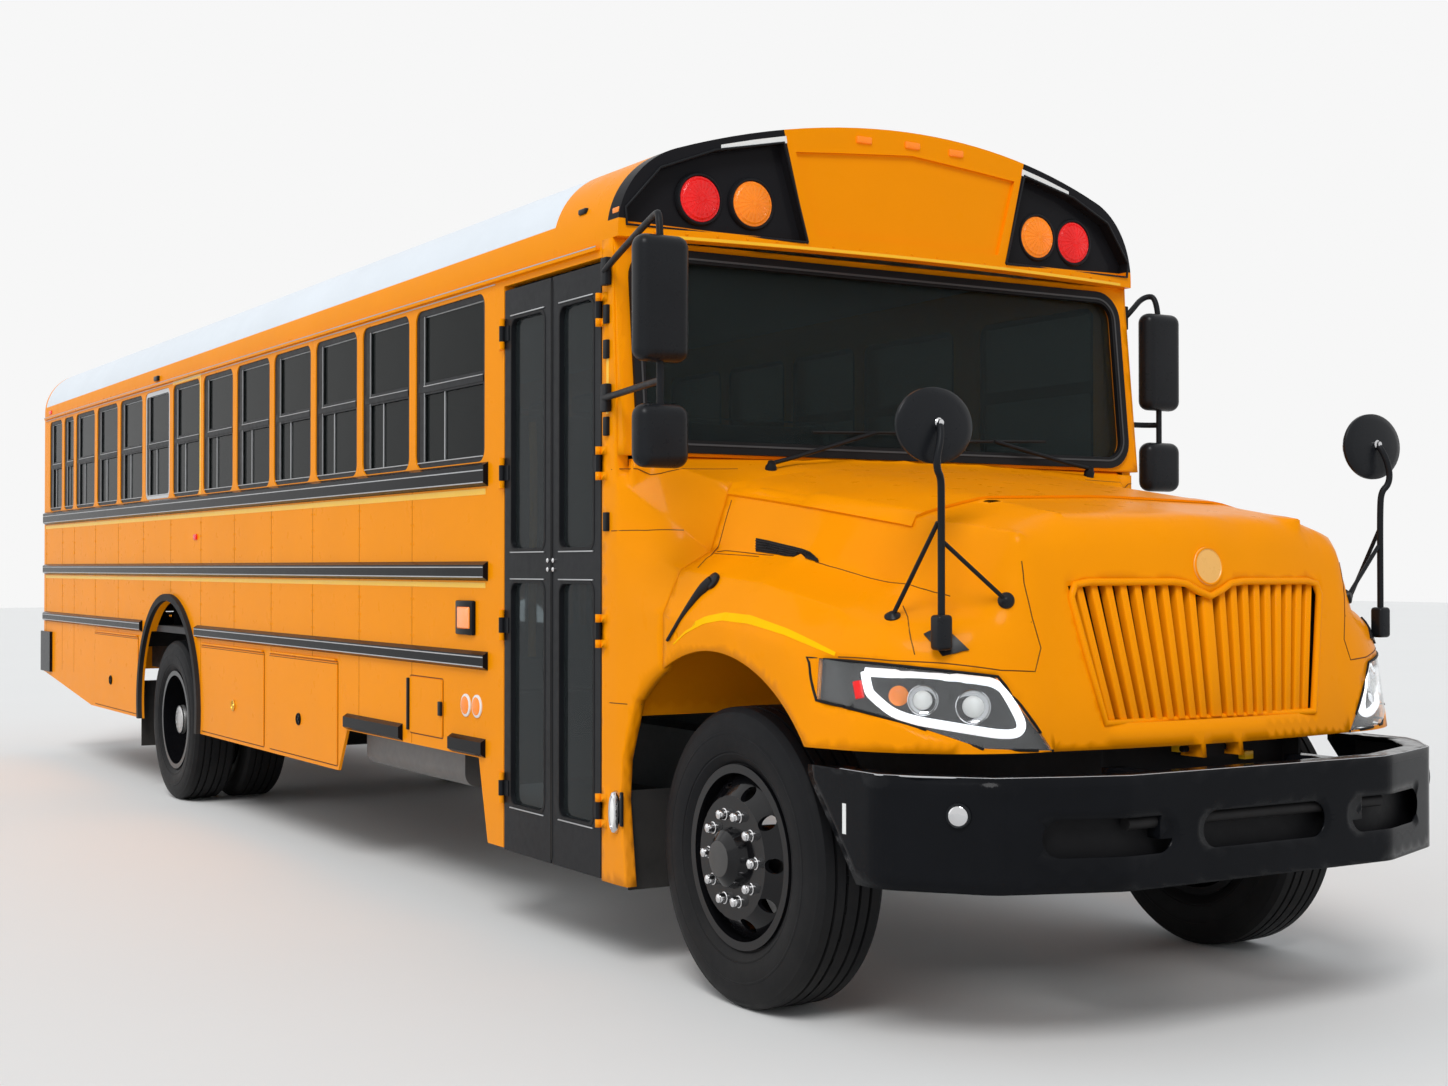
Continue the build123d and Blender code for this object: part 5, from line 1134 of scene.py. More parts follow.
def window_rows(front, rear):
    """Blocks of one window: the dark jamb and sash bar, then thin bright lines painted as highlights on the
    jamb edge, sash bar, sill and head.
    """
    out, pane = FACE_OUT, PANE_OUT
    low, high = SILL + FRAME_BAND, WINDOW_HEAD - FRAME_BAND
    bar = rear - FRAME_BAND - LOWER_BAR * (rear - front)
    dark = [
        (-out + 1, -pane, rear - 84, rear - 24, low, high),
        (-out - 3, -pane, front + 24, rear - 24, SASH - 17, SASH + 9),
    ]
    # Painted highlights: thin grey lines where light catches the jamb edge, the sash bar's top, the sill and
    # the head.
    bright = [
        (-out - 1, -out + 6, rear - 88, rear - 84, low, high),
        (-out - 5, -out + 2, front + 28, rear - 86, SASH + 9, SASH + 13),
        (-pane - 7, -pane, bar - 4, bar + 4, low, SASH - 14),
        (-out - 5, -out + 2, front + 20, rear - 20, SILL + 20, SILL + 25),
        (-pane - 5, -pane, front + 26, rear - 26, high - 5, high),
    ]
    return dark, bright


def dress_windows():
    """Painted highlight lines and the dark jambs, modelled on one window and copied along both sides."""
    dark, bright = window_rows(*MIDDLE_WINDOWS[0])
    pattern_dark = boxes("jamb_pattern", "chassis", black_satin, dark, 1.2)
    pattern_bright = boxes("highlight_pattern", "chassis", bright_trim_and_highlight, bright, 0.8)
    for pattern, name in ((pattern_dark, "window_jambs"), (pattern_bright, "window_highlight_lines")):
        copies = [pattern]
        for index in range(1, len(MIDDLE_WINDOWS)):
            copies.append(placed_copy(pattern, f"{name}_{index}", "chassis", (0, WINDOW_PITCH * index, 0)))
        mirrored(joined(copies, f"{name}_right", "chassis"), f"{name}_left", "chassis")
    dark, bright = [], []
    for front, rear in END_WINDOWS:
        more_dark, more_bright = window_rows(front, rear)
        dark += more_dark
        bright += more_bright
    boxes("end_window_jambs", "chassis", black_satin, both_sides(dark), 1.2)
    boxes("end_window_highlight_lines", "chassis", bright_trim_and_highlight, both_sides(bright), 0.8)


dress_windows()


def pale_window_frame():
    """The one window with a bare metal frame, and the tape round the one before it."""
    front, rear = MIDDLE_WINDOWS[6]
    spot = at(-FACE_OUT - 3, (front + rear) / 2, (SILL + WINDOW_HEAD) / 2)
    frame_piece("bare_window_frame", "chassis", aluminium, spot, (0, -90), rear - front - 4,
                WINDOW_HEAD - SILL - 4, 52, 26, 4, 6)
    front, rear = MIDDLE_WINDOWS[5]
    boxes("window_tape", "chassis", yellow_tape, [
        (-SIDE - 1.2, -SIDE + 1, front - 26, rear, WINDOW_HEAD + 4, WINDOW_HEAD + 26),
        (-SIDE - 1.2, -SIDE + 1, front - 26, front - 4, SILL, WINDOW_HEAD + 4),
    ], 0.3)


pale_window_frame()

SEAM_PLACES = [2572.0 + WINDOW_PITCH * k for k in range(11)] + [9474.0, 10030.0]
ARCH_CLEAR = (5880.0, 7180.0)
ARCH_TOP = 1275.0
SEAM_LOW = 660.0
RIVET_LOW = 1130
RIVET_HEIGHTS = range(RIVET_LOW, 1851, 80)
RIVET_PROFILE = [(0, 6), (1.6, 5.2), (2.8, 2)]
UPPER_RAIL = (1755.0, 1853.0)
MIDDLE_RAIL = (1373.0, 1452.0)
LOWER_RAIL = (1012.0, 1088.0)
RAIL_CLEAR = 12
# Columns: heights of the rail, front end, rear end
RAILS = [
    (UPPER_RAIL, 1766.0, 10066.0), (MIDDLE_RAIL, 1766.0, 10066.0),
    (LOWER_RAIL, 1766.0, 5901.0), (LOWER_RAIL, 7149.0, 10066.0),
]


def under_rail(z):
    """Whether a rivet at this height would lie under a rail."""
    low, high = MIDDLE_RAIL
    return low - RAIL_CLEAR < z < high + RAIL_CLEAR or UPPER_RAIL[0] - RAIL_CLEAR < z


def side_seams():
    """Lap seams with rivets, the drip gutter, painted highlight lines along the gutter and the rails, and
    reflective tape along both sides.
    """
    seam_rows = []
    for y in SEAM_PLACES:
        low = ARCH_TOP if ARCH_CLEAR[0] < y < ARCH_CLEAR[1] else SEAM_LOW
        seam_rows.append((-SIDE - 0.8, -SIDE + 1.5, y - 1.6, y + 1.6, low, SILL - 6))
    boxes("lap_seams", "chassis", lap_line, both_sides(seam_rows), 0.3)
    pattern = turned("rivet_pattern", "chassis", body_paint, at(-SIDE + 0.5, SEAM_PLACES[0] - 16, RIVET_LOW),
                     (-1, 0, 0), RIVET_PROFILE, 6, 40.0)
    rivets = [
        placed_copy(pattern, "rivet", "chassis", (0, y + step - SEAM_PLACES[0], z - RIVET_LOW))
        for y in SEAM_PLACES for z in RIVET_HEIGHTS if not under_rail(z) for step in (0, 32)
    ]
    bpy.data.objects.remove(pattern)
    mirrored(joined(rivets, "side_rivets_right", "chassis"), "side_rivets_left", "chassis")
    boxes("drip_gutter", "chassis", body_paint, both_sides([
        (-SIDE - 15, -SIDE + 2, 800, 10060, 2566, 2574), (-SIDE - 17, -SIDE - 12, 800, 10060, 2566, 2582),
    ]), 1.5, 2)
    # Painted highlights: thin grey lines along the gutter's lip and just below it, where light catches.
    boxes("gutter_highlight_lines", "chassis", bright_trim_and_highlight, both_sides([
        (-SIDE - 18, -SIDE - 16, 800, 10060, 2578, 2582.5), (-SIDE - 2, -SIDE + 1, 1700, 10060, 2556, 2561),
    ]), 0.4)
    # Painted highlights: pale lines along each rail rib, standing for the sky reflected in the black rails.
    edges = [
        (-SIDE - 23, -SIDE - 20, front + 4, rear - 4, z, z + 5)
        for (low, high), front, rear in RAILS for z in (low + 13, (low + high) / 2 + 13)
    ]
    boxes("rail_highlight_lines", "chassis", rail_highlight_grey, both_sides(edges), 0.8)
    boxes("side_tape", "chassis", yellow_tape, both_sides([
        (-SIDE - 1.2, -SIDE + 1, 1790, 10060, 1722, 1747), (-SIDE - 1.2, -SIDE + 1, 1790, 10060, 1344, 1366),
    ]), 0.3)


side_seams()

# Lids in the skirt: outlines, hinge lines and latches. Columns: front, rear, low, high
LIDS = [(3502.0, 4544.0, 472.0, 978.0), (4630.0, 5805.0, 472.0, 978.0), (7241.0, 8424.0, 472.0, 978.0)]
FUEL_LID = (2219.0, 2592.0, 702.0, 958.0)
LID_EDGE = 14
# Columns: behind the front axle, finish
LOCKS = [(4062.0, black_gloss), (5162.0, brass), (7952.0, black_gloss)]
LOCK_Z = 662
LOCK_PROFILE = [(0, 31), (8, 31), (11, 27), (6, 24), (6, 10), (10, 8)]


def skirt_lids():
    """Luggage lids and the fuel lid on the door side."""
    for index, (front, rear, low, high) in enumerate(LIDS + [FUEL_LID]):
        y, z = (front + rear) / 2, (low + high) / 2
        wide, tall = rear - front, high - low
        frame_piece(f"lid_gap_{index}", "chassis", seam_dark, at(-SIDE - 1, y, z), (0, -90),
                    wide, tall, 14, 4, 2.5, 3)
        frame_piece(f"lid_plate_{index}", "chassis", body_paint, at(-SIDE - 5, y, z), (0, -90),
                    wide - LID_EDGE, tall - LID_EDGE, 10, 0, 5, 3)
    bars("lid_hinges", "chassis", body_paint, 6.0, [
        [(-SIDE - 7, front + 20, high + 4), (-SIDE - 7, rear - 20, high + 4)] for front, rear, _, high in LIDS
    ])
    boxes("lid_hinge_lines", "chassis", seam_dark, [
        (-SIDE - 6, -SIDE + 1, front + 6, rear - 6, high - 16, high - 13) for front, rear, _, high in LIDS
    ], 0.3)
    for index, (y, material) in enumerate(LOCKS):
        spot = at(-SIDE - 3, y, LOCK_Z)
        turned(f"lid_lock_{index}", "chassis", material, spot, (-1, 0, 0), LOCK_PROFILE, 28)
    boxes("fuel_lid_hinge", "chassis", black_satin, [
        (-SIDE - 14, -SIDE - 3, 2588, 2606, 716, 944), (-SIDE - 15, -SIDE - 3, 2222, 2252, 800, 860),
    ], 3.0, 2)


skirt_lids()

# Marker lamps and reflectors on the sides

REFLECTORS = [(1980.0, 861.0), (1868.0, 863.0)]
REFLECTOR_RIM = [(0, 47), (6, 47), (8, 43), (8, 36)]
REFLECTOR_LENS = [(4, 37), (9.5, 37), (12, 30), (13, 8)]


def side_markers():
    """Round reflectors, the square marker and small lamps."""
    places = [(at(side * (SIDE - 1), y, z), (side, 0, 0)) for y, z in REFLECTORS for side in (-1, 1)]
    for name, material, profile in (
        ("reflector_rims", white_tape, REFLECTOR_RIM), ("side_reflectors", amber_lens, REFLECTOR_LENS),
    ):
        turned_set(name, "chassis", material, [(place, axis, profile) for place, axis in places], 32)
    for name, material, round_edge, rows in (
        ("square_marker", black_gloss, 8.0, [(-SIDE - 16, -SIDE + 2, 1886, 2064, 1150, 1292)]),
        ("square_marker_lens", amber_lens, 8.0, [(-SIDE - 20, -SIDE - 10, 1912, 2038, 1176, 1266)]),
        ("cant_markers", moulded_black, 8.0, [(-SIDE - 18, -SIDE + 2, 6750, 6840, 2598, 2630)]),
        ("red_markers", red_lens, 4.0, [(-SIDE - 10, -SIDE + 2, 5904, 5964, 1590, 1622),
                                        (-SIDE - 6, -SIDE + 2, 9860, 9950, 2604, 2630)]),
    ):
        boxes(name, "chassis", material, both_sides(rows), round_edge, 3)


side_markers()

# Hood and nose. Rows of all routes: across, behind the front axle, height

PANEL_SEAM = [
    (-696, -899, 1448), (-693, -908, 1384), (-676, -924, 1280), (-655, -938, 1190), (-681, -942, 1121),
    (-790, -925, 1128), (-930, -836, 1147), (-1044, -725, 1153), (-1128, -567, 1160),
]
HOOD_SEAM = [
    (-1012, 330, 1487), (-998, 289, 1484), (-981, 153, 1474), (-930, -196, 1435), (-888, -402, 1393),
    (-853, -535, 1369), (-798, -726, 1332), (-720, -860, 1295), (-679, -925, 1266),
]
LOWER_SEAM = [(-1020, 330, 1478), (-1012, 281, 1472), (-994, 162, 1466), (-985, 100, 1462)]
FENDER_SEAM = [
    (-1120, 290, 1402), (-1060, 330, 1470), (-1012, 334, 1530), (-985, 338, 1600), (-950, 340, 1660),
    (-900, 342, 1700),
]
FOLD_SEAM = [(-932, -629, 1311), (-960, -690, 1280), (-1003, -758, 1227), (-998, -773, 1173)]
VENT_TOP = [(-963, 151, 1526), (-956, 86, 1517), (-942, -61, 1493), (-931, -139, 1474), (-929, -168, 1455)]
VENT_LOW = [(-972, 130, 1478), (-962, 40, 1470), (-955, -40, 1459), (-940, -120, 1450), (-932, -180, 1441)]
LATCH = [(-1128, 160, 1382), (-1140, 178, 1362), (-1153, 200, 1342), (-1178, 225, 1299), (-1204, 256, 1253),
         (-1208, 331, 1181)]
LATCH_RADII = [1.5, 1.7, 1.2, 0.8, 0.5, 0.45]
LATCH_SEAT = [(-8, 30), (2, 30), (5, 25), (7, 8)]
SLAT_SHARES = (0.2, 0.4, 0.6, 0.8)
NOSE_MARK = (0.0, -966.0, 1432.0)
NOSE_WAY = (0, -0.99, 0.13)
NOSE_PLATE = [(-6, 60), (3, 60), (6, 57), (6.4, 53), (4.4, 51), (4.6, 20), (4.7, 6)]
NOSE_RING = [(3, 59), (7, 59.5), (8.4, 57), (7, 54), (4, 54)]
FENDER_CREASE = [
    (-1199, 300, 1172), (-1198, 226, 1211), (-1195, 110, 1248), (-1183, 14, 1260), (-1173, -125, 1254),
    (-1163, -323, 1223), (-1132, -553, 1168),
]
CREASE_WIDTH = [4, 12, 20, 24, 24, 18, 4]


def hood_details():
    """Panel seams, side vents with slats, latches, a painted highlight along each fender crease and the bare
    round plate on the nose.
    """
    routes = [PANEL_SEAM, HOOD_SEAM, LOWER_SEAM, FENDER_SEAM, FOLD_SEAM]
    seams("hood_seams", "hood", "hood", seam_dark, routes + [flip(route) for route in routes], 1.9)
    for side, label in SIDES:
        top, low, strap = [route if side < 0 else flip(route) for route in (VENT_TOP, VENT_LOW, LATCH)]
        laid_panel(f"hood_vent_{label}", "hood", "hood", vent_black, top, low, 1.5, 4.0, 4, 16)
        slats = []
        for share in SLAT_SHARES:
            line = [at(*upper).lerp(at(*lower), share) for upper, lower in zip(top, low)]
            slats.append(tube([snapped("hood", place, 4.0) for place in spread(line, 0.03)], 2.6, 1))
        slat_set = joined(slats, f"vent_slats_{label}", "hood")
        finished(slat_set, f"vent_slats_{label}", moulded_black, "hood", 60.0)
        places = [snapped("hood", at(*row), 7.0) for row in strap]
        finished(tube(places, 12.0, 3, 3, LATCH_RADII), f"hood_latch_{label}", rubber, "hood", 50.0)
        way = (side * 0.85, 0, 0.5)
        turned(f"hood_latch_seat_{label}", "hood", moulded_black, places[0], way, LATCH_SEAT, 24)
    # Painted highlight: a brighter yellow strip laid along each fender crease, where light catches it.
    for side, label in SIDES:
        low = [(-side * x, y, z - 5) for x, y, z in FENDER_CREASE]
        high = [(-side * x * 0.992, y, z + width) for (x, y, z), width in zip(FENDER_CREASE, CREASE_WIDTH)]
        laid_panel(f"fender_crease_highlight_{label}", "hood", "hood", crease_highlight_yellow, low, high, 0.8, 1.6, 2, 40)
    spot = snapped("hood", at(*NOSE_MARK), 0.5)
    turned("nose_plate", "hood", plate_yellow, spot, NOSE_WAY, NOSE_PLATE, 48, 30.0)
    turned("nose_plate_ring", "hood", body_paint, spot, NOSE_WAY, NOSE_RING, 48, 40.0, closed=True)
    boxes("stop_tabs", "chassis", yellow_tape, [
        (-78, -44, -912, -884, 850, 878), (222, 262, -906, -876, 812, 838),
    ], 2.0, 2)


hood_details()

# Grille: rounded slats between a raised surround, dark behind. Outline rows: across, height
GRILLE_OUTLINE = [
    (449, 962), (500, 1180), (536, 1340), (520, 1376), (470, 1384), (150, 1384), (96, 1378), (52, 1356),
    (0, 1338),
]
SLAT_COUNT = 9
SLAT_HALF = 14.0
SLAT_LOW = 964.0
SLAT_HIGH = 1380.0
MIDDLE_HALF = 24.0
FIELD_LOW = 449.0
FIELD_HIGH = 540.0
SLAT_SETBACK = 10.0
SLAT_DEPTH = 34.0
SURROUND_DIP = 1338.0
SURROUND_RISE = 0.42
NOSE_FRONT = -1030.0


def slat_top(x):
    """The height where a slat at this place across meets the surround."""
    return min(SLAT_HIGH, SURROUND_DIP + abs(x) * SURROUND_RISE)


def nose_depth(x, z):
    """How far behind the front axle the nose stands at a place across and a height."""
    spot = faces_of("grille").find_nearest(at(x, NOSE_FRONT, z))[0]
    return (spot.y - back(0)) * 1000


def grille_slat(side, index):
    """One slat: a tall blade with a rounded front, splayed outwards and bowed with the nose."""
    half = SLAT_HALF if index else MIDDLE_HALF
    x_low, x_high = 0.0, 0.0
    if index:
        low_step, high_step = [(edge - MIDDLE_HALF) / (SLAT_COUNT + 0.5) for edge in (FIELD_LOW, FIELD_HIGH)]
        x_low = side * (MIDDLE_HALF + low_step * (index - 0.25))
        x_high = side * (MIDDLE_HALF + high_step * (index - 0.25))
    blade = box_mm(-half, half, 0, SLAT_DEPTH, 0, 1000, half * 0.42, 3)
    alone(blade)
    bpy.ops.object.transform_apply(location=True, rotation=True, scale=True)
    top = slat_top(x_high)
    for corner in blade.data.vertices:
        share = corner.co.z
        x = x_low + (x_high - x_low) * share
        z = SLAT_LOW + (top - SLAT_LOW) * share
        depth = (corner.co.y - back(0)) * 1000
        corner.co = at(x + corner.co.x * 1000, nose_depth(x, z) + SLAT_SETBACK + depth, z)
    return blade


def radiator_grille():
    """Slats, surround and the dark field behind, in place of the plain grille."""
    slats = [grille_slat(side, index) for side in (-1, 1) for index in range(1, SLAT_COUNT + 1)]
    slats.append(grille_slat(1, 0))
    piece = finished(joined(slats, "grille_slats", "hood"), "grille_slats", body_paint, "hood", 40.0)
    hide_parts("grille")
    outline = GRILLE_OUTLINE + [(-x, z) for x, z in reversed(GRILLE_OUTLINE[:-1])]
    route = [at(x, nose_depth(x, z) + 3, z) for x, z in outline]
    ring = tube(route + route[:1], 12.0, 3)
    finished(ring, "grille_surround", body_paint, "hood", 60.0)
    # Partly painted shade: the black field behind the slats stands for the dark radiator and for the shade
    # inside the grille.
    field = [(x * 1.1, nose_depth(x, z) + 58, z + (12 if z > 1200 else -24)) for x, z in outline]
    bpy.ops.object.select_all(action="DESELECT")
    bpy.ops.mesh.primitive_circle_add(vertices=len(field), radius=0.5, fill_type="NGON")
    panel = bpy.context.object
    for corner, place in zip(panel.data.vertices, field):
        corner.co = at(*place)
    walled(panel, 4.0)
    finished(panel, "grille_field", vent_black, "hood")


radiator_grille()

# Headlamps: dark bowl, bright outline strip, turn lamp, two projectors, side reflector and clear cover
STRIP_ROUTE = [
    (-1093, -657, 1119), (-950, -800, 1109), (-801, -914, 1099), (-765, -938, 1030), (-732, -953, 957),
    (-776, -944, 935), (-910, -870, 960), (-1046, -754, 988), (-1085, -690, 1045), (-1093, -670, 1064),
    (-1093, -657, 1119),
]
PROJECTORS = [((-991, -804, 1040), 46.0), ((-874, -892, 1022), 52.0)]
TURN_LAMP = (-1040, -752, 1052)
TURN_PROFILE = [(0, 30), (6, 30), (14, 24), (18, 12), (19, 3)]
SIDE_REFLECTOR = ((-1121, -600, 1112), (-1118, -615, 1055), (-1091, -681, 1025), (-1092, -668, 1068))
LAMP_WAY = Vector((-0.60, -0.79, 0.10)).normalized()
LAMP_SET_BACK = 30.0
COVER_FRONT = -0.08
COVER_TOP = 0.6
# Rows: across, height
LAMP_OUTLINE = [
    (640.0, 888.0), (860.0, 900.0), (1125.0, 1010.0), (1161.0, 1028.0), (1161.0, 1155.0), (800.0, 1108.0),
]
RIM_STEPS = 8


def lamp_faces(name, body, material, side, set_back, wall):
    """The front of one carried-over lamp as an open sheet with a wall."""
    obj = bpy.data.objects.new(name, mesh_of("headlamps"))
    bpy.context.scene.collection.objects.link(obj)
    editing(obj)
    bpy.ops.mesh.remove_doubles(threshold=WELD)

    def outside(place, normal):
        return not (place.x * side > 0 and normal.y < COVER_FRONT and normal.z < COVER_TOP)

    pick_faces(obj, outside)
    bpy.ops.mesh.delete(type="FACE")
    bpy.ops.mesh.select_all(action="SELECT")
    if set_back:
        bpy.ops.transform.translate(value=(-side * 0.6 * set_back / 1000, 0.8 * set_back / 1000, 0))
    bpy.ops.object.mode_set(mode="OBJECT")
    walled(obj, wall)
    return finished(obj, name, material, body, 30.0)


def in_lamp(row, depth, side):
    """A place in a lamp, set back from its front along the lamp's way."""
    spot = at(*row) - LAMP_WAY * (depth / 1000)
    return spot if side < 0 else MIRRORED @ spot


def headlamps():
    """Both headlamps with their insides, in place of the solid ones."""
    for side, label in SIDES:
        way = Vector((side * abs(LAMP_WAY.x), LAMP_WAY.y, LAMP_WAY.z))
        lamp_faces(f"lamp_bowl_{label}", "hood", lamp_bowl, side, LAMP_SET_BACK, 3.0)
        cover = lamp_faces(f"lamp_cover_{label}", "hood", lamp_cover, side, 0.0, 3.0)
        if side < 0:
            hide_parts("headlamps")
        strip = tube([in_lamp(row, 14.0, side) for row in STRIP_ROUTE], 14.0, 3, 3)
        finished(strip, f"lamp_strip_{label}", led_white, "hood", 60.0)
        for index, (row, wide) in enumerate(PROJECTORS):
            barrel = [(0, wide), (12, wide), (14, wide - 3), (8, wide - 6), (4, wide * 0.6)]
            turned(f"lamp_barrel_{label}_{index}", "hood", chrome, in_lamp(row, 34.0, side), way, barrel, 32)
            ball = [(0, wide * 0.62), (6, wide * 0.6), (12, wide * 0.48), (16, wide * 0.3), (18, wide * 0.08)]
            turned(f"lamp_projector_{label}_{index}", "hood", clear_lens, in_lamp(row, 28.0, side), way, ball,
                   28, 60.0)
        turned(f"lamp_turn_{label}", "hood", amber_lens, in_lamp(TURN_LAMP, 30.0, side), way, TURN_PROFILE,
               24, 60.0)
        corners = [in_lamp(row, 6.0, side) for row in SIDE_REFLECTOR]
        red = tube([(corners[0] + corners[3]) / 2, (corners[1] + corners[2]) / 2], 14.0, 2)
        finished(red, f"lamp_side_reflector_{label}", red_lens, "hood", 60.0)


def lamp_depth(x, z):
    """How far behind the front axle the lamp stands at a place across and a height."""
    for node_name in ("headlamps", "hood"):
        spot = faces_of(node_name).ray_cast(at(x, -1400.0, z), Vector((0, 1, 0)))[0]
        if spot:
            return (spot.y - back(0)) * 1000
    return -600.0


def lamp_rims():
    """The dark line between each lamp and the hood."""
    rims = []
    for side in (-1, 1):
        places = []
        for (x0, z0), (x1, z1) in zip(LAMP_OUTLINE, LAMP_OUTLINE[1:] + LAMP_OUTLINE[:1]):
            for step in range(RIM_STEPS):
                x, z = x0 + (x1 - x0) * step / RIM_STEPS, z0 + (z1 - z0) * step / RIM_STEPS
                places.append(at(side * x, lamp_depth(side * x, z) - 1, z))
        rims.append(tube(places + places[:1], 4.5, 2))
    finished(joined(rims, "lamp_rims", "hood"), "lamp_rims", gasket_rubber, "hood", 60.0)


headlamps()
lamp_rims()

# Cowl and front post

COWL_SEAMS = [
    [(-1219, 709, 1775), (-1150, 560, 1776), (-1000, 520, 1777), (-820, 502, 1779)],
    [(-1219, 708, 1557), (-1162, 559, 1557), (-1067, 458, 1557)],
    [(-1219, 720, 948), (-1200, 600, 950), (-1184, 551, 951)],
]
COURTESY_BOWL = [(0, 44), (6, 44), (18, 40), (22, 34), (14, 32), (12, 12)]
COURTESY_LENS = [(10, 31), (17, 31), (21, 24), (23, 8)]


def cowl_details():
    """Cowl seams, the courtesy lamp by the entrance, tape and hinges on the front post."""
    seams("cowl_seams", "chassis", "cowl", seam_dark, COWL_SEAMS + [flip(route) for route in COWL_SEAMS], 1.8)
    spot = at(-1219, 668, 566)
    stretch = Matrix.Translation(spot) @ Matrix.Diagonal((1, 0.62, 1.75, 1)) @ Matrix.Translation(-spot)
    for name, material, profile, sides, smooth in (
        ("courtesy_lamp_right", chrome, COURTESY_BOWL, 36, 35.0),
        ("courtesy_lens_right", clear_lens, COURTESY_LENS, 32, 50.0),
    ):
        turned(name, "chassis", material, spot, (-1, 0, 0), profile, sides, smooth).data.transform(stretch)
    boxes("courtesy_lamp_bracket", "chassis", moulded_black, [(-1226, -1216, 620, 636, 520, 640)], 3.0, 2)
    boxes("post_tape", "chassis", yellow_tape, both_sides([(-1220.4, -1218, 728, 746, 1975, 2230)]), 0.3)
    boxes("post_hinges", "chassis", black_satin, [
        (-1233, -1217, 722, 752, z - 34, z + 34) for z in (1590.0, 1930.0, 2205.0, 2330.0)
    ], 4.0, 2)


cowl_details()

# Entry doors. Columns: body, front and rear edge of the light, place of the knobs
DOOR_LEAVES = [("entry_front", 852.0, 1120.0, 1166.0), ("entry_rear", 1256.0, 1545.0, 1212.0)]
KNOB_PROFILE = [(0, 9), (7, 9), (10, 6.5), (11, 3)]
LIGHT_SPANS = ((504.0, 1367.0), (1502.0, 2400.0))


def door_details():
    """Gaskets and bright lines round the lights, knobs, meeting rubbers, handrails and step edges."""
    for body, front, rear, knob_y in DOOR_LEAVES:
        lines = []
        for low, high in LIGHT_SPANS:
            spot = at(-1220.5, (front + rear) / 2, (low + high) / 2)
            frame_piece(f"{body}_gasket_{round(low)}", body, gasket_rubber, spot, (0, -90), rear - front + 26,
                        high - low + 26, 46, 12, 6, 6)
            lines.append((-1224, -1217, front - 6, rear + 6, high + 13, high + 18))
            lines.append((-1224, -1217, front - 6, rear + 6, low - 18, low - 13))
        boxes(f"{body}_bright_lines", body, bright_trim_and_highlight, lines, 1.2, 2)
        knobs = [(at(-1218, knob_y, z), (-1, 0, 0), KNOB_PROFILE) for z in (1420.0, 1454.0)]
        turned_set(f"{body}_knobs", body, chrome, knobs, 16)
    boxes("door_meeting_rubber_front", "entry_front", rubber, [(-1222, -1181, 1180, 1185, 330, 2506)], 1.5, 2)
    boxes("door_meeting_rubber_rear", "entry_rear", rubber, [(-1222, -1181, 1191, 1195, 330, 2506)], 1.5, 2)
    bars("entry_handrails", "chassis", handrail_paint, 16.0, [
        [(-1120, 1560, 1075), (-1120, 1560, 1180), (-1120, 1540, 1900), (-1120, 1560, 2000)],
        [(-1125, 850, 640), (-1120, 870, 700), (-1090, 1010, 1180), (-1080, 1060, 1300), (-1080, 1060, 1420)],
    ], 4, 3)
    boxes("step_nosings", "chassis", yellow_tape, [
        (-1146, -1130, 815, 1580, 338, 343), (-960, -945, 815, 1580, 560, 566),
        (-790, -775, 815, 1580, 800, 806),
    ], 1.0)


door_details()

# Mirrors. Columns: side, label, across, behind the front axle
MIRROR_PLACES = ((-1, "right", -1375.0, 80.0), (1, "left", 1375.0, 660.0))
POST_OUT = 1239
HEAD_HALF = (97, 44)


def mirror_head(x, y, low, high, bulge, name):
    """One moulded mirror housing with well-rounded edges."""
    half_x, half_y = HEAD_HALF
    head = box_mm(x - half_x, x + half_x, y - half_y, y + half_y, low, high, bulge, 6)
    return finished(head, name, moulded_black, "chassis", 50.0)


def side_mirror_sets():
    """Rounded heads, bent arms, brackets and silvered faces, in place of the plain mirrors."""
    for side, label, x, y in MIRROR_PLACES:
        upper = mirror_head(x, y, 2090, 2500, 40.0, f"mirror_head_{label}")
        mirror_head(x, y, 1748, 1955, 42.0, f"mirror_bowl_{label}")
        if side < 0:
            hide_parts("side_mirrors")
        post = side * POST_OUT
        bars(f"mirror_arms_{label}", "chassis", black_satin, 12.0, [
            [(x, y, 2400), (x, y, 2572), (x * 0.985, y + 70, 2584), (post, 690, 2500), (post, 725, 2480)],
            [(x, y, 2120), (x, y, 2030), (x, y, 1900)],
            [(x, y, 2030), (x * 0.99, y + 60, 2032), (post, 700, 2030), (post, 725, 2030)],
        ], 3, 3)
        foot = sorted((side * 1221, side * 1245))
        boxes(f"mirror_brackets_{label}", "chassis", black_satin, [
            (*foot, 703, 747, z - 50, z + 50) for z in (2480.0, 2030.0)
        ], 5.0, 3)
        for low, high, part in ((2118, 2472, "flat"), (1776, 1928, "convex")):
            spot = at(x, y + 45.5, (low + high) / 2)
            frame_piece(f"mirror_face_{part}_{label}", "chassis", mirror_silver, spot, (0, 180),
                        140, high - low, 26, 0, 3, 5)


CROSSVIEW_X = 950.0
CROSSVIEW_Y = -840.0
# The pole's route. Columns: outwards, behind, height
POLE_ROUTE = [
    (0, 0, 1215), (0, 0, 1400), (0, 0, 1640), (4, -4, 1690), (26, -14, 1712), (30, -18, 1750),
    (14, -16, 1800), (0, 4, 1850), (0, 22, 1852),
]
CROSSVIEW_Z = 1845
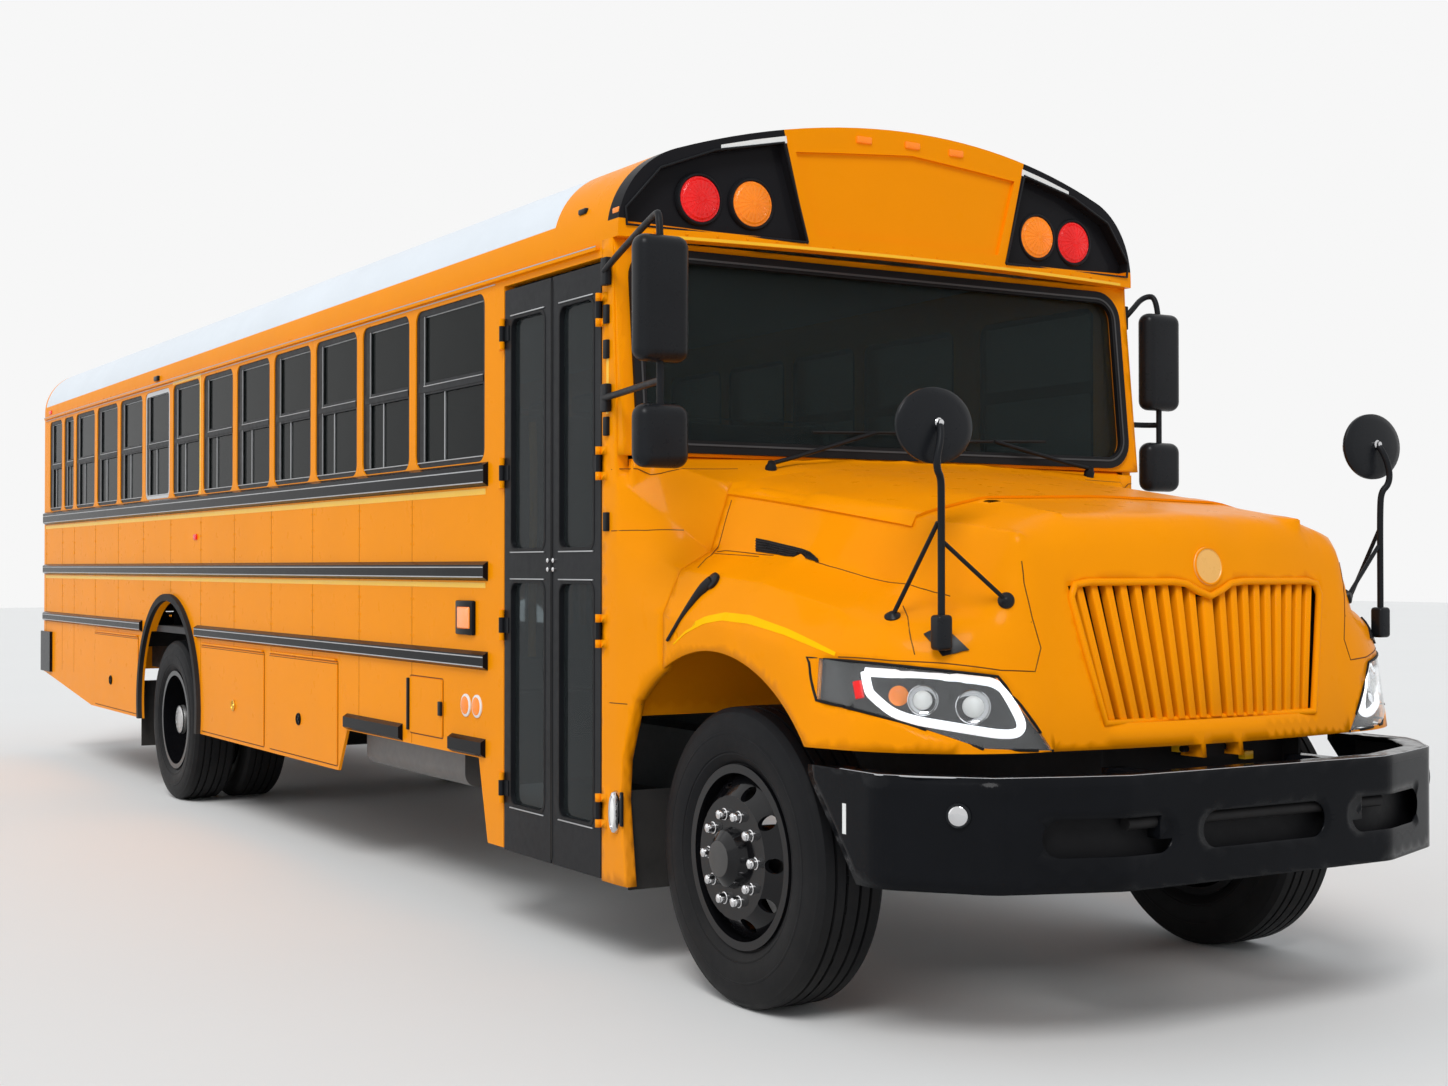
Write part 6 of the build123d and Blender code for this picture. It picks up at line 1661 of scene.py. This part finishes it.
# Columns: across, behind the mirror
STRUT_FEET = [(740, -40), (1010, 170)]
OVAL = Matrix.Diagonal((1.0, 1.0, 113.0 / 140.0, 1.0))
SHELL_PROFILE = [(0, 136), (3, 140), (12, 140), (16, 136), (22, 110), (26, 60), (27, 10)]
DOME_PROFILE = [(0, 134), (8, 130), (20, 112), (31, 84), (39, 48), (42, 10)]
FOOT_PROFILE = [(-6, 25), (3, 25), (7, 20), (12, 11), (16, 6)]
CROSSVIEW_BOLT = [(-2, 15), (5, 15), (9, 10), (16, 9), (18, 4)]


def oval_turned(name, material, x, start, profile, way):
    """A turned disc about the mirror's middle, pressed to an oval."""
    heart = at(x, start, CROSSVIEW_Z)
    disc = turned(name, "hood", material, heart, (0, way, 0), profile, 48, 40.0)
    disc.data.transform(Matrix.Translation(heart) @ OVAL @ Matrix.Translation(-heart))
    return disc


def crossview_sets():
    """Domed mirrors on bent poles with two struts, round feet and wedge-shaped pads."""
    for side, label in SIDES:
        x, y = side * CROSSVIEW_X, CROSSVIEW_Y
        shell = oval_turned(f"crossview_shell_{label}", moulded_black, x, -798.0, SHELL_PROFILE, -1)
        if side < 0:
            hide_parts("crossview_mirrors")
        oval_turned(f"crossview_face_{label}", mirror_silver, x, -797.5, DOME_PROFILE, 1)
        foot = snapped("hood", at(x, y, 1230))
        pole = [(x + side * out, y + depth, z) for out, depth, z in POLE_ROUTE]
        bars(f"crossview_pole_{label}", "hood", black_satin, 11.0, [pole], 3, 3)
        ends = [snapped("hood", at(side * out, y + depth, 1330), 1.0) for out, depth in STRUT_FEET]
        tops = [at(x - side * 10, y, 1500), at(x + side * 6, y + 8, 1560)]
        struts = [tube([end, top.lerp(end, 0.12), top], 7.0, 2, 3) for end, top in zip(ends, tops)]
        finished(joined(struts, "struts", "hood"), f"crossview_struts_{label}", black_satin, "hood", 60.0)
        feet = [(end, end - snapped("hood", end, -20.0), FOOT_PROFILE) for end in ends]
        turned_set(f"crossview_feet_{label}", "hood", moulded_black, feet, 20, 40.0)
        socket = box_mm(x - 27, x + 27, y - 24, y + 24, foot.z * 1000 - 26, foot.z * 1000 + 78, 12.0, 4)
        finished(socket, f"crossview_socket_{label}", moulded_black, "hood", 40.0)
        low = [(x - 52, y - 70, 1200), (x + 52, y - 70, 1200)]
        high = [(x - 40, y + 44, 1260), (x + 40, y + 44, 1260)]
        laid_panel(f"crossview_pad_{label}", "hood", "hood", moulded_black, low, high, 3.0, 8.0, 4, 4)
        turned(f"crossview_bolt_{label}", "hood", chrome, at(x, -826, 1852), (0, -1, 0), CROSSVIEW_BOLT, 16)


side_mirror_sets()
crossview_sets()

# Front bumper. Rows of the edge: across, behind the front axle, height

BUMPER_EDGE = [
    (-1144, -600, 829), (-1144, -790, 829), (-1080, -890, 829), (-925, -1052, 829), (-700, -1140, 829),
    (-540, -1192, 829),
]
FOG_RIM = [(-4, 36), (6, 36), (10, 33), (8, 28)]
FOG_LAMP = [(5, 29), (10, 28), (13, 21), (14, 7)]
# Columns: across, height
BUMPER_BOLTS = [(700.0, 800.0), (596.0, 798.0), (250.0, 760.0), (250.0, 560.0)]
BUMPER_FLAT = 500
BOLT_TURN = 0.35
BOLT_PROFILE = [(-8, 9), (-1.5, 9), (-0.5, 7), (-0.2, 3)]
BUMPER_INNER = [(-1105, -600), (-1105, -780), (-905, -1012), (-545, -1142)]


def bumper_details():
    """Fog lamps, a painted highlight along the top edge, corner strips and bolts of the front bumper."""
    for side, label in SIDES:
        spot = snapped("front_bumper", at(side * 998, -980, 722), 2.0)
        way = (side * 0.76, -0.65, 0)
        turned(f"fog_lamp_rim_{label}", "chassis", moulded_black, spot, way, FOG_RIM)
        turned(f"fog_lamp_{label}", "chassis", chrome, spot, way, FOG_LAMP, 32, 50.0)
    # Painted highlight: a thin pale line along the bumper's top edge.
    edge = BUMPER_EDGE + flip(BUMPER_EDGE)[::-1]
    bars("bumper_top_highlight", "chassis", rail_highlight_grey, 2.5, [edge])
    strip = (-1151.6, -1149, -640, -622, 640, 730)
    boxes("bumper_corner_strips", "chassis", white_tape, both_sides([strip]), 0.5)
    bolts = []
    for x, z in BUMPER_BOLTS:
        turn = BOLT_TURN if x > BUMPER_FLAT else 0.0
        for side in (-1, 1):
            spot = snapped("front_bumper", at(side * x, -1180, z))
            bolts.append((spot, (side * turn, -0.94, 0), BOLT_PROFILE))
    turned_set("bumper_bolts", "chassis", sheet_steel, bolts, 12)


bumper_details()


def bumper_backing():
    """Dark inner panel and cross tube seen through the bumper's slots."""
    plan = BUMPER_INNER + [(-x, y) for x, y in reversed(BUMPER_INNER)]
    low, high = [[(x, y, z) for x, y in plan] for z in (532, 808)]
    laid_panel("bumper_backing", "chassis", None, vent_black, low, high, 0.0, 5.0, 2, 60)
    bars("bumper_cross_tube", "chassis", chassis_black, 20.0, [[(-540, -1168, 690), (540, -1168, 690)]], 3)


bumper_backing()

# Stop sign: pale border and two lamps, with nothing written on it
SIGN_Y = 1480
SIGN_BORDER = [(0, 228), (1.5, 228), (1.6, 212), (0, 212)]
SIGN_LAMPS = [("upper", 1742.0), ("lower", 1478.0)]
SIGN_LAMP_SCALE = 0.42


def stop_sign_details():
    """Border and lamps of the folded sign."""
    border = lathe(Vector(), (0, 0, 1), SIGN_BORDER, 8, closed=True)
    finished(border, "stop_sign_border", white_tape, "stop_sign", 10.0)
    turn = Matrix.Translation(at(1279.2, SIGN_Y, 1610)) @ Matrix.Rotation(math.radians(90), 4, "Y")
    border.data.transform(turn @ Matrix.Rotation(math.radians(22.5), 4, "Z"))
    for name, z in SIGN_LAMPS:
        spot = at(1279, SIGN_Y, z)
        ribbed_lens(spot, (1, 0, 0), f"stop_sign_lamp_{name}", red_lens, "stop_sign", SIGN_LAMP_SCALE)
        bezel(spot, (1, 0, 0), f"stop_sign_bezel_{name}", black_satin, "stop_sign", SIGN_LAMP_SCALE)


stop_sign_details()

# Rear of the bus. Rows of the lights: low, high

REAR_WALL = 10134.0
REAR_DOOR_LIGHTS = ((1180.0, 1620.0), (1780.0, 2460.0))
REAR_LIGHT_HALF = 364.0
REAR_HANDLE = [(-2, 1640), (6, 1630), (6.5, 1560), (6, 1480), (-2, 1462)]
# Columns: across from, across to, low, high
REAR_TAPE = [
    (-1190, -480, 1130, 1155), (480, 1190, 1130, 1155), (-1190, -1165, 1155, 2560), (1165, 1190, 1155, 2560),
    (-1165, 1165, 2566, 2590),
]
REAR_MARKERS = (-220.0, 0.0, 220.0, -1000.0, 1000.0)
ROOF_FALL = 0.18


def rear_details():
    """Window gaskets, emergency door handle, tape, small markers and a bare plate holder."""
    wall = REAR_WALL
    for low, high in REAR_DOOR_LIGHTS:
        spot = at(0, wall + 1, (low + high) / 2)
        frame_piece(f"rear_door_gasket_{round(low)}", "rear_exit", gasket_rubber, spot, (0, 180),
                    2 * REAR_LIGHT_HALF + 30, high - low + 30, 60, 18, 6, 6)
    for side, label in SIDES:
        frame_piece(f"rear_window_gasket_{label}", "chassis", gasket_rubber, at(side * 805, wall + 1, 2190),
                    (0, 180), 520, 610, 66, 18, 6, 6)
    plate = (330, 420, wall, wall + 7, 1520, 1660)
    boxes("rear_door_handle_plate", "rear_exit", black_satin, [plate], 3.0, 2)
    handle = [(375, wall + proud, z) for proud, z in REAR_HANDLE]
    bars("rear_door_handle", "rear_exit", chrome, 9.0, [handle], 3, 3)
    tape = [(x0, x1, wall - 0.5, wall + 1.2, low, high) for x0, x1, low, high in REAR_TAPE]
    boxes("rear_tape", "chassis", yellow_tape, tape, 0.3)
    boxes("rear_markers", "chassis", red_lens, [
        (x - 34, x + 34, wall - 2, wall + 12, 2940 - abs(x) * ROOF_FALL, 2968 - abs(x) * ROOF_FALL)
        for x in REAR_MARKERS
    ], 4.0, 3)
    frame_piece("plate_holder", "chassis", black_satin, at(-760, wall + 3, 1180), (0, 180),
                330, 178, 12, 10, 4, 4)


rear_details()

# Driver's place

# Columns: across, radius
DIALS = [(560.0, 34.0), (640.0, 46.0), (740.0, 46.0), (820.0, 34.0)]
DIAL_WAY = (0, 0.9, 0.35)


def driver_place():
    """Instrument hood, dials and switches on the dashboard."""
    boxes("instrument_hood", "chassis", dash_grain, [(470, 870, 690, 850, 1768, 1806)], 14.0, 4)
    turned_set("dials", "chassis", black_gloss, [
        (at(x, 850, 1700), DIAL_WAY, [(-12, wide), (6, wide), (8, wide - 4), (2, wide - 6)])
        for x, wide in DIALS
    ], 32)
    keys = [(x, x + 26, 838, 852, z, z + 18) for x in (80, 116, 152, 188, 224, 260) for z in (1640, 1668)]
    boxes("dash_switches", "chassis", moulded_black, keys, 3.0, 2)


driver_place()

# Padded seats: one bench is swollen as cloth and copied
SEAT_ROWS = 11
SEAT_FIRST = 2250.0
SEAT_PITCH = 700.0
SEAT_INNER = 184.0
SEAT_OUTER = 1144.0
SEAT_LOW = 1392.0
CUSHION_TOP = 1498.0
BACK_TOP = 2172.0
BACK_LEAN = 110.0
SEAT_VOXEL = 0.024
SWELL_CAP = 0.022
SWELL_FRAMES = 20
SWELL_PRESSURE = 4.0


def bench_core(x0, x1):
    """A cushion and a leaning back as one closed form, a little slimmer than the pad will be."""
    left, right, low = x0 + 10, x1 - 10, SEAT_LOW + 8
    cushion = box_mm(left, right, SEAT_FIRST + 14, SEAT_FIRST + 470, low, CUSHION_TOP - 6, 26.0, 3)
    rest = box_mm(left, right, SEAT_FIRST + 428, SEAT_FIRST + 520, low, BACK_TOP - 12, 30.0, 3)
    slope = BACK_LEAN / (BACK_TOP - CUSHION_TOP)
    hinge = at(0, 0, CUSHION_TOP).z
    rest.data.transform(rest.matrix_world)
    rest.matrix_world = Matrix.Identity(4)
    for vertex in rest.data.vertices:
        if vertex.co.z > hinge:
            vertex.co.y += (vertex.co.z - hinge) * slope
    core = joined([cushion, rest], "bench_core", "chassis")
    alone(core)
    bpy.ops.object.transform_apply(location=True, rotation=True, scale=True)
    return core


def swollen(core, name):
    """Voxel remesh and a short cloth inflation, with the move of each point capped."""
    grid = core.modifiers.new("grid", "REMESH")
    grid.mode = "VOXEL"
    grid.voxel_size = SEAT_VOXEL
    alone(core)
    bpy.ops.object.modifier_apply(modifier="grid")
    start = [vertex.co.copy() for vertex in core.data.vertices]
    cloth = core.modifiers.new("cloth", "CLOTH")
    cloth.settings.use_pressure = True
    cloth.settings.uniform_pressure_force = SWELL_PRESSURE
    cloth.settings.effector_weights.gravity = 0.0
    cloth.settings.quality = 4
    cloth.point_cache.frame_start = 1
    cloth.point_cache.frame_end = SWELL_FRAMES
    for frame_number in range(1, SWELL_FRAMES + 1):
        bpy.context.scene.frame_set(frame_number)
    alone(core)
    bpy.ops.object.modifier_apply(modifier="cloth")
    for vertex, home in zip(core.data.vertices, start):
        move = vertex.co - home
        if move.length > SWELL_CAP:
            vertex.co = home + move.normalized() * SWELL_CAP
    bpy.context.scene.frame_set(1)
    return finished(core, name, seat_vinyl, "chassis", 80.0)


def piping(x0, x1, name):
    """Sewn piping along the front of the cushion and round the face of the back."""
    front, rear = SEAT_FIRST + 28, SEAT_FIRST + 424
    upper = rear + BACK_LEAN
    edge = [(x0 + 16, front, CUSHION_TOP + 2), (x1 - 16, front, CUSHION_TOP + 2)]
    face = [
        (x0 + 14, rear + 8, CUSHION_TOP + 60), (x0 + 14, upper - 16, BACK_TOP - 60),
        (x0 + 60, upper - 6, BACK_TOP - 10), (x1 - 60, upper - 6, BACK_TOP - 10),
        (x1 - 14, upper - 16, BACK_TOP - 60), (x1 - 14, rear + 8, CUSHION_TOP + 60),
    ]
    return bars(name, "chassis", seat_vinyl, 4.0, [edge, face], 1)


def seats():
    """All the benches and the driver's seat."""
    pattern = swollen(bench_core(SEAT_INNER, SEAT_OUTER), "bench_1_left")
    cord = piping(SEAT_INNER, SEAT_OUTER, "piping_pattern")
    cords = [cord]
    for row in range(SEAT_ROWS):
        for side, label in SIDES:
            if row == 0 and side > 0:
                continue
            shift = Matrix.Translation((0, row * SEAT_PITCH / 1000, 0))
            change = shift @ (MIRRORED if side < 0 else Matrix.Identity(4))
            placed_copy(pattern, f"bench_{row + 1}_{label}", "chassis", matrix=change)
            cords.append(placed_copy(cord, f"piping_{row}_{label}", "chassis", matrix=change))
    across = Matrix.Translation(at(670, 1090, 0)) @ Matrix.Diagonal((0.5, 0.9, 0.94, 1))
    narrow = across @ Matrix.Translation(-at(664, SEAT_FIRST, 0))
    placed_copy(pattern, "driver_seat", "chassis", matrix=narrow)
    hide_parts("seats")
    joined(cords, "seat_piping", "chassis")
    boxes("driver_pedestal", "chassis", chassis_black, [(520, 820, 1170, 1490, 1061, 1322)], 20.0, 3)


seats()

# Floor, light and camera
FLOOR_SIZE = 120.0
FLOOR_TONE = (0.80, 0.80, 0.79)
BACKDROP = (0.93, 0.93, 0.93)


def seen_by_eye(tree):
    """1 for rays from the camera, gloss and glass, 0 for the light that falls on the object."""
    path = add(tree, "ShaderNodeLightPath")
    glossy, through = path.outputs["Is Glossy Ray"], path.outputs["Is Transmission Ray"]
    seen = math_node(tree, "ADD", glossy, through, clamp=True)
    return math_node(tree, "ADD", path.outputs["Is Camera Ray"], seen, clamp=True)


def build_floor():
    """A plain pale floor that keeps the shadow."""
    bpy.ops.mesh.primitive_plane_add(size=FLOOR_SIZE, location=(0, 0, GROUND))
    floor = bpy.context.object
    floor.name = "studio_floor"
    material = surface("floor_tone", FLOOR_TONE, 0.75, shade=0.01, cloud=0.4, rough_shift=0.05, grain=40.0,
                       bump=0.02)
    floor.data.materials.append(material)


def build_world():
    """Even pale surroundings: soft light on the object and a pale backdrop where they are seen."""
    world = bpy.data.worlds.new("studio")
    bpy.context.scene.world = world
    world.use_nodes = True
    tree = world.node_tree
    tree.nodes.clear()
    out = add(tree, "ShaderNodeOutputWorld")
    lit = add(tree, "ShaderNodeBackground", Strength=0.55)
    lit.inputs["Color"].default_value = (0.93, 0.96, 1.0, 1.0)
    seen = add(tree, "ShaderNodeBackground", Strength=1.0)
    seen.inputs["Color"].default_value = (*BACKDROP, 1.0)
    mix = add(tree, "ShaderNodeMixShader")
    tree.links.new(seen_by_eye(tree), mix.inputs[0])
    tree.links.new(lit.outputs[0], mix.inputs[1])
    tree.links.new(seen.outputs[0], mix.inputs[2])
    tree.links.new(mix.outputs[0], out.inputs["Surface"])


# Lamps: name, direction that the light travels, strength, softness in degrees
SUNS = [
    ("key_light", (0.75, 0.85, -1.15), 1.75, 25.0),
    ("fill_light", (0.9, -0.5, -0.5), 0.45, 60.0),
]


def build_lights():
    """Two soft suns."""
    for name, direction, strength, softness in SUNS:
        data = bpy.data.lights.new(name, "SUN")
        data.energy = strength
        data.angle = math.radians(softness)
        lamp = bpy.data.objects.new(name, data)
        lamp.rotation_euler = Vector(direction).to_track_quat("-Z", "Y").to_euler()
        bpy.context.scene.collection.objects.link(lamp)


# Camera solved from the photograph: place relative to the front axle, heading and tilt in degrees
CAMERA_PLACE = (-4.376, -5.2526, 1.429)
CAMERA_HEADING = 31.298
CAMERA_TILT = 0.7247
CAMERA_LENS = 47.22


def build_camera():
    """The photograph's own viewpoint."""
    data = bpy.data.cameras.new("photo_camera")
    data.lens = CAMERA_LENS
    data.sensor_width = 36.0
    data.clip_end = 500.0
    camera = bpy.data.objects.new("photo_camera", data)
    x, y, z = CAMERA_PLACE
    camera.location = (x, back(y), z)
    camera.rotation_euler = Euler((math.radians(90 + CAMERA_TILT), 0, math.radians(-CAMERA_HEADING)))
    bpy.context.scene.collection.objects.link(camera)
    bpy.context.scene.camera = camera


bpy.context.scene.view_settings.view_transform = "Standard"
build_floor()
build_world()
build_lights()
build_camera()
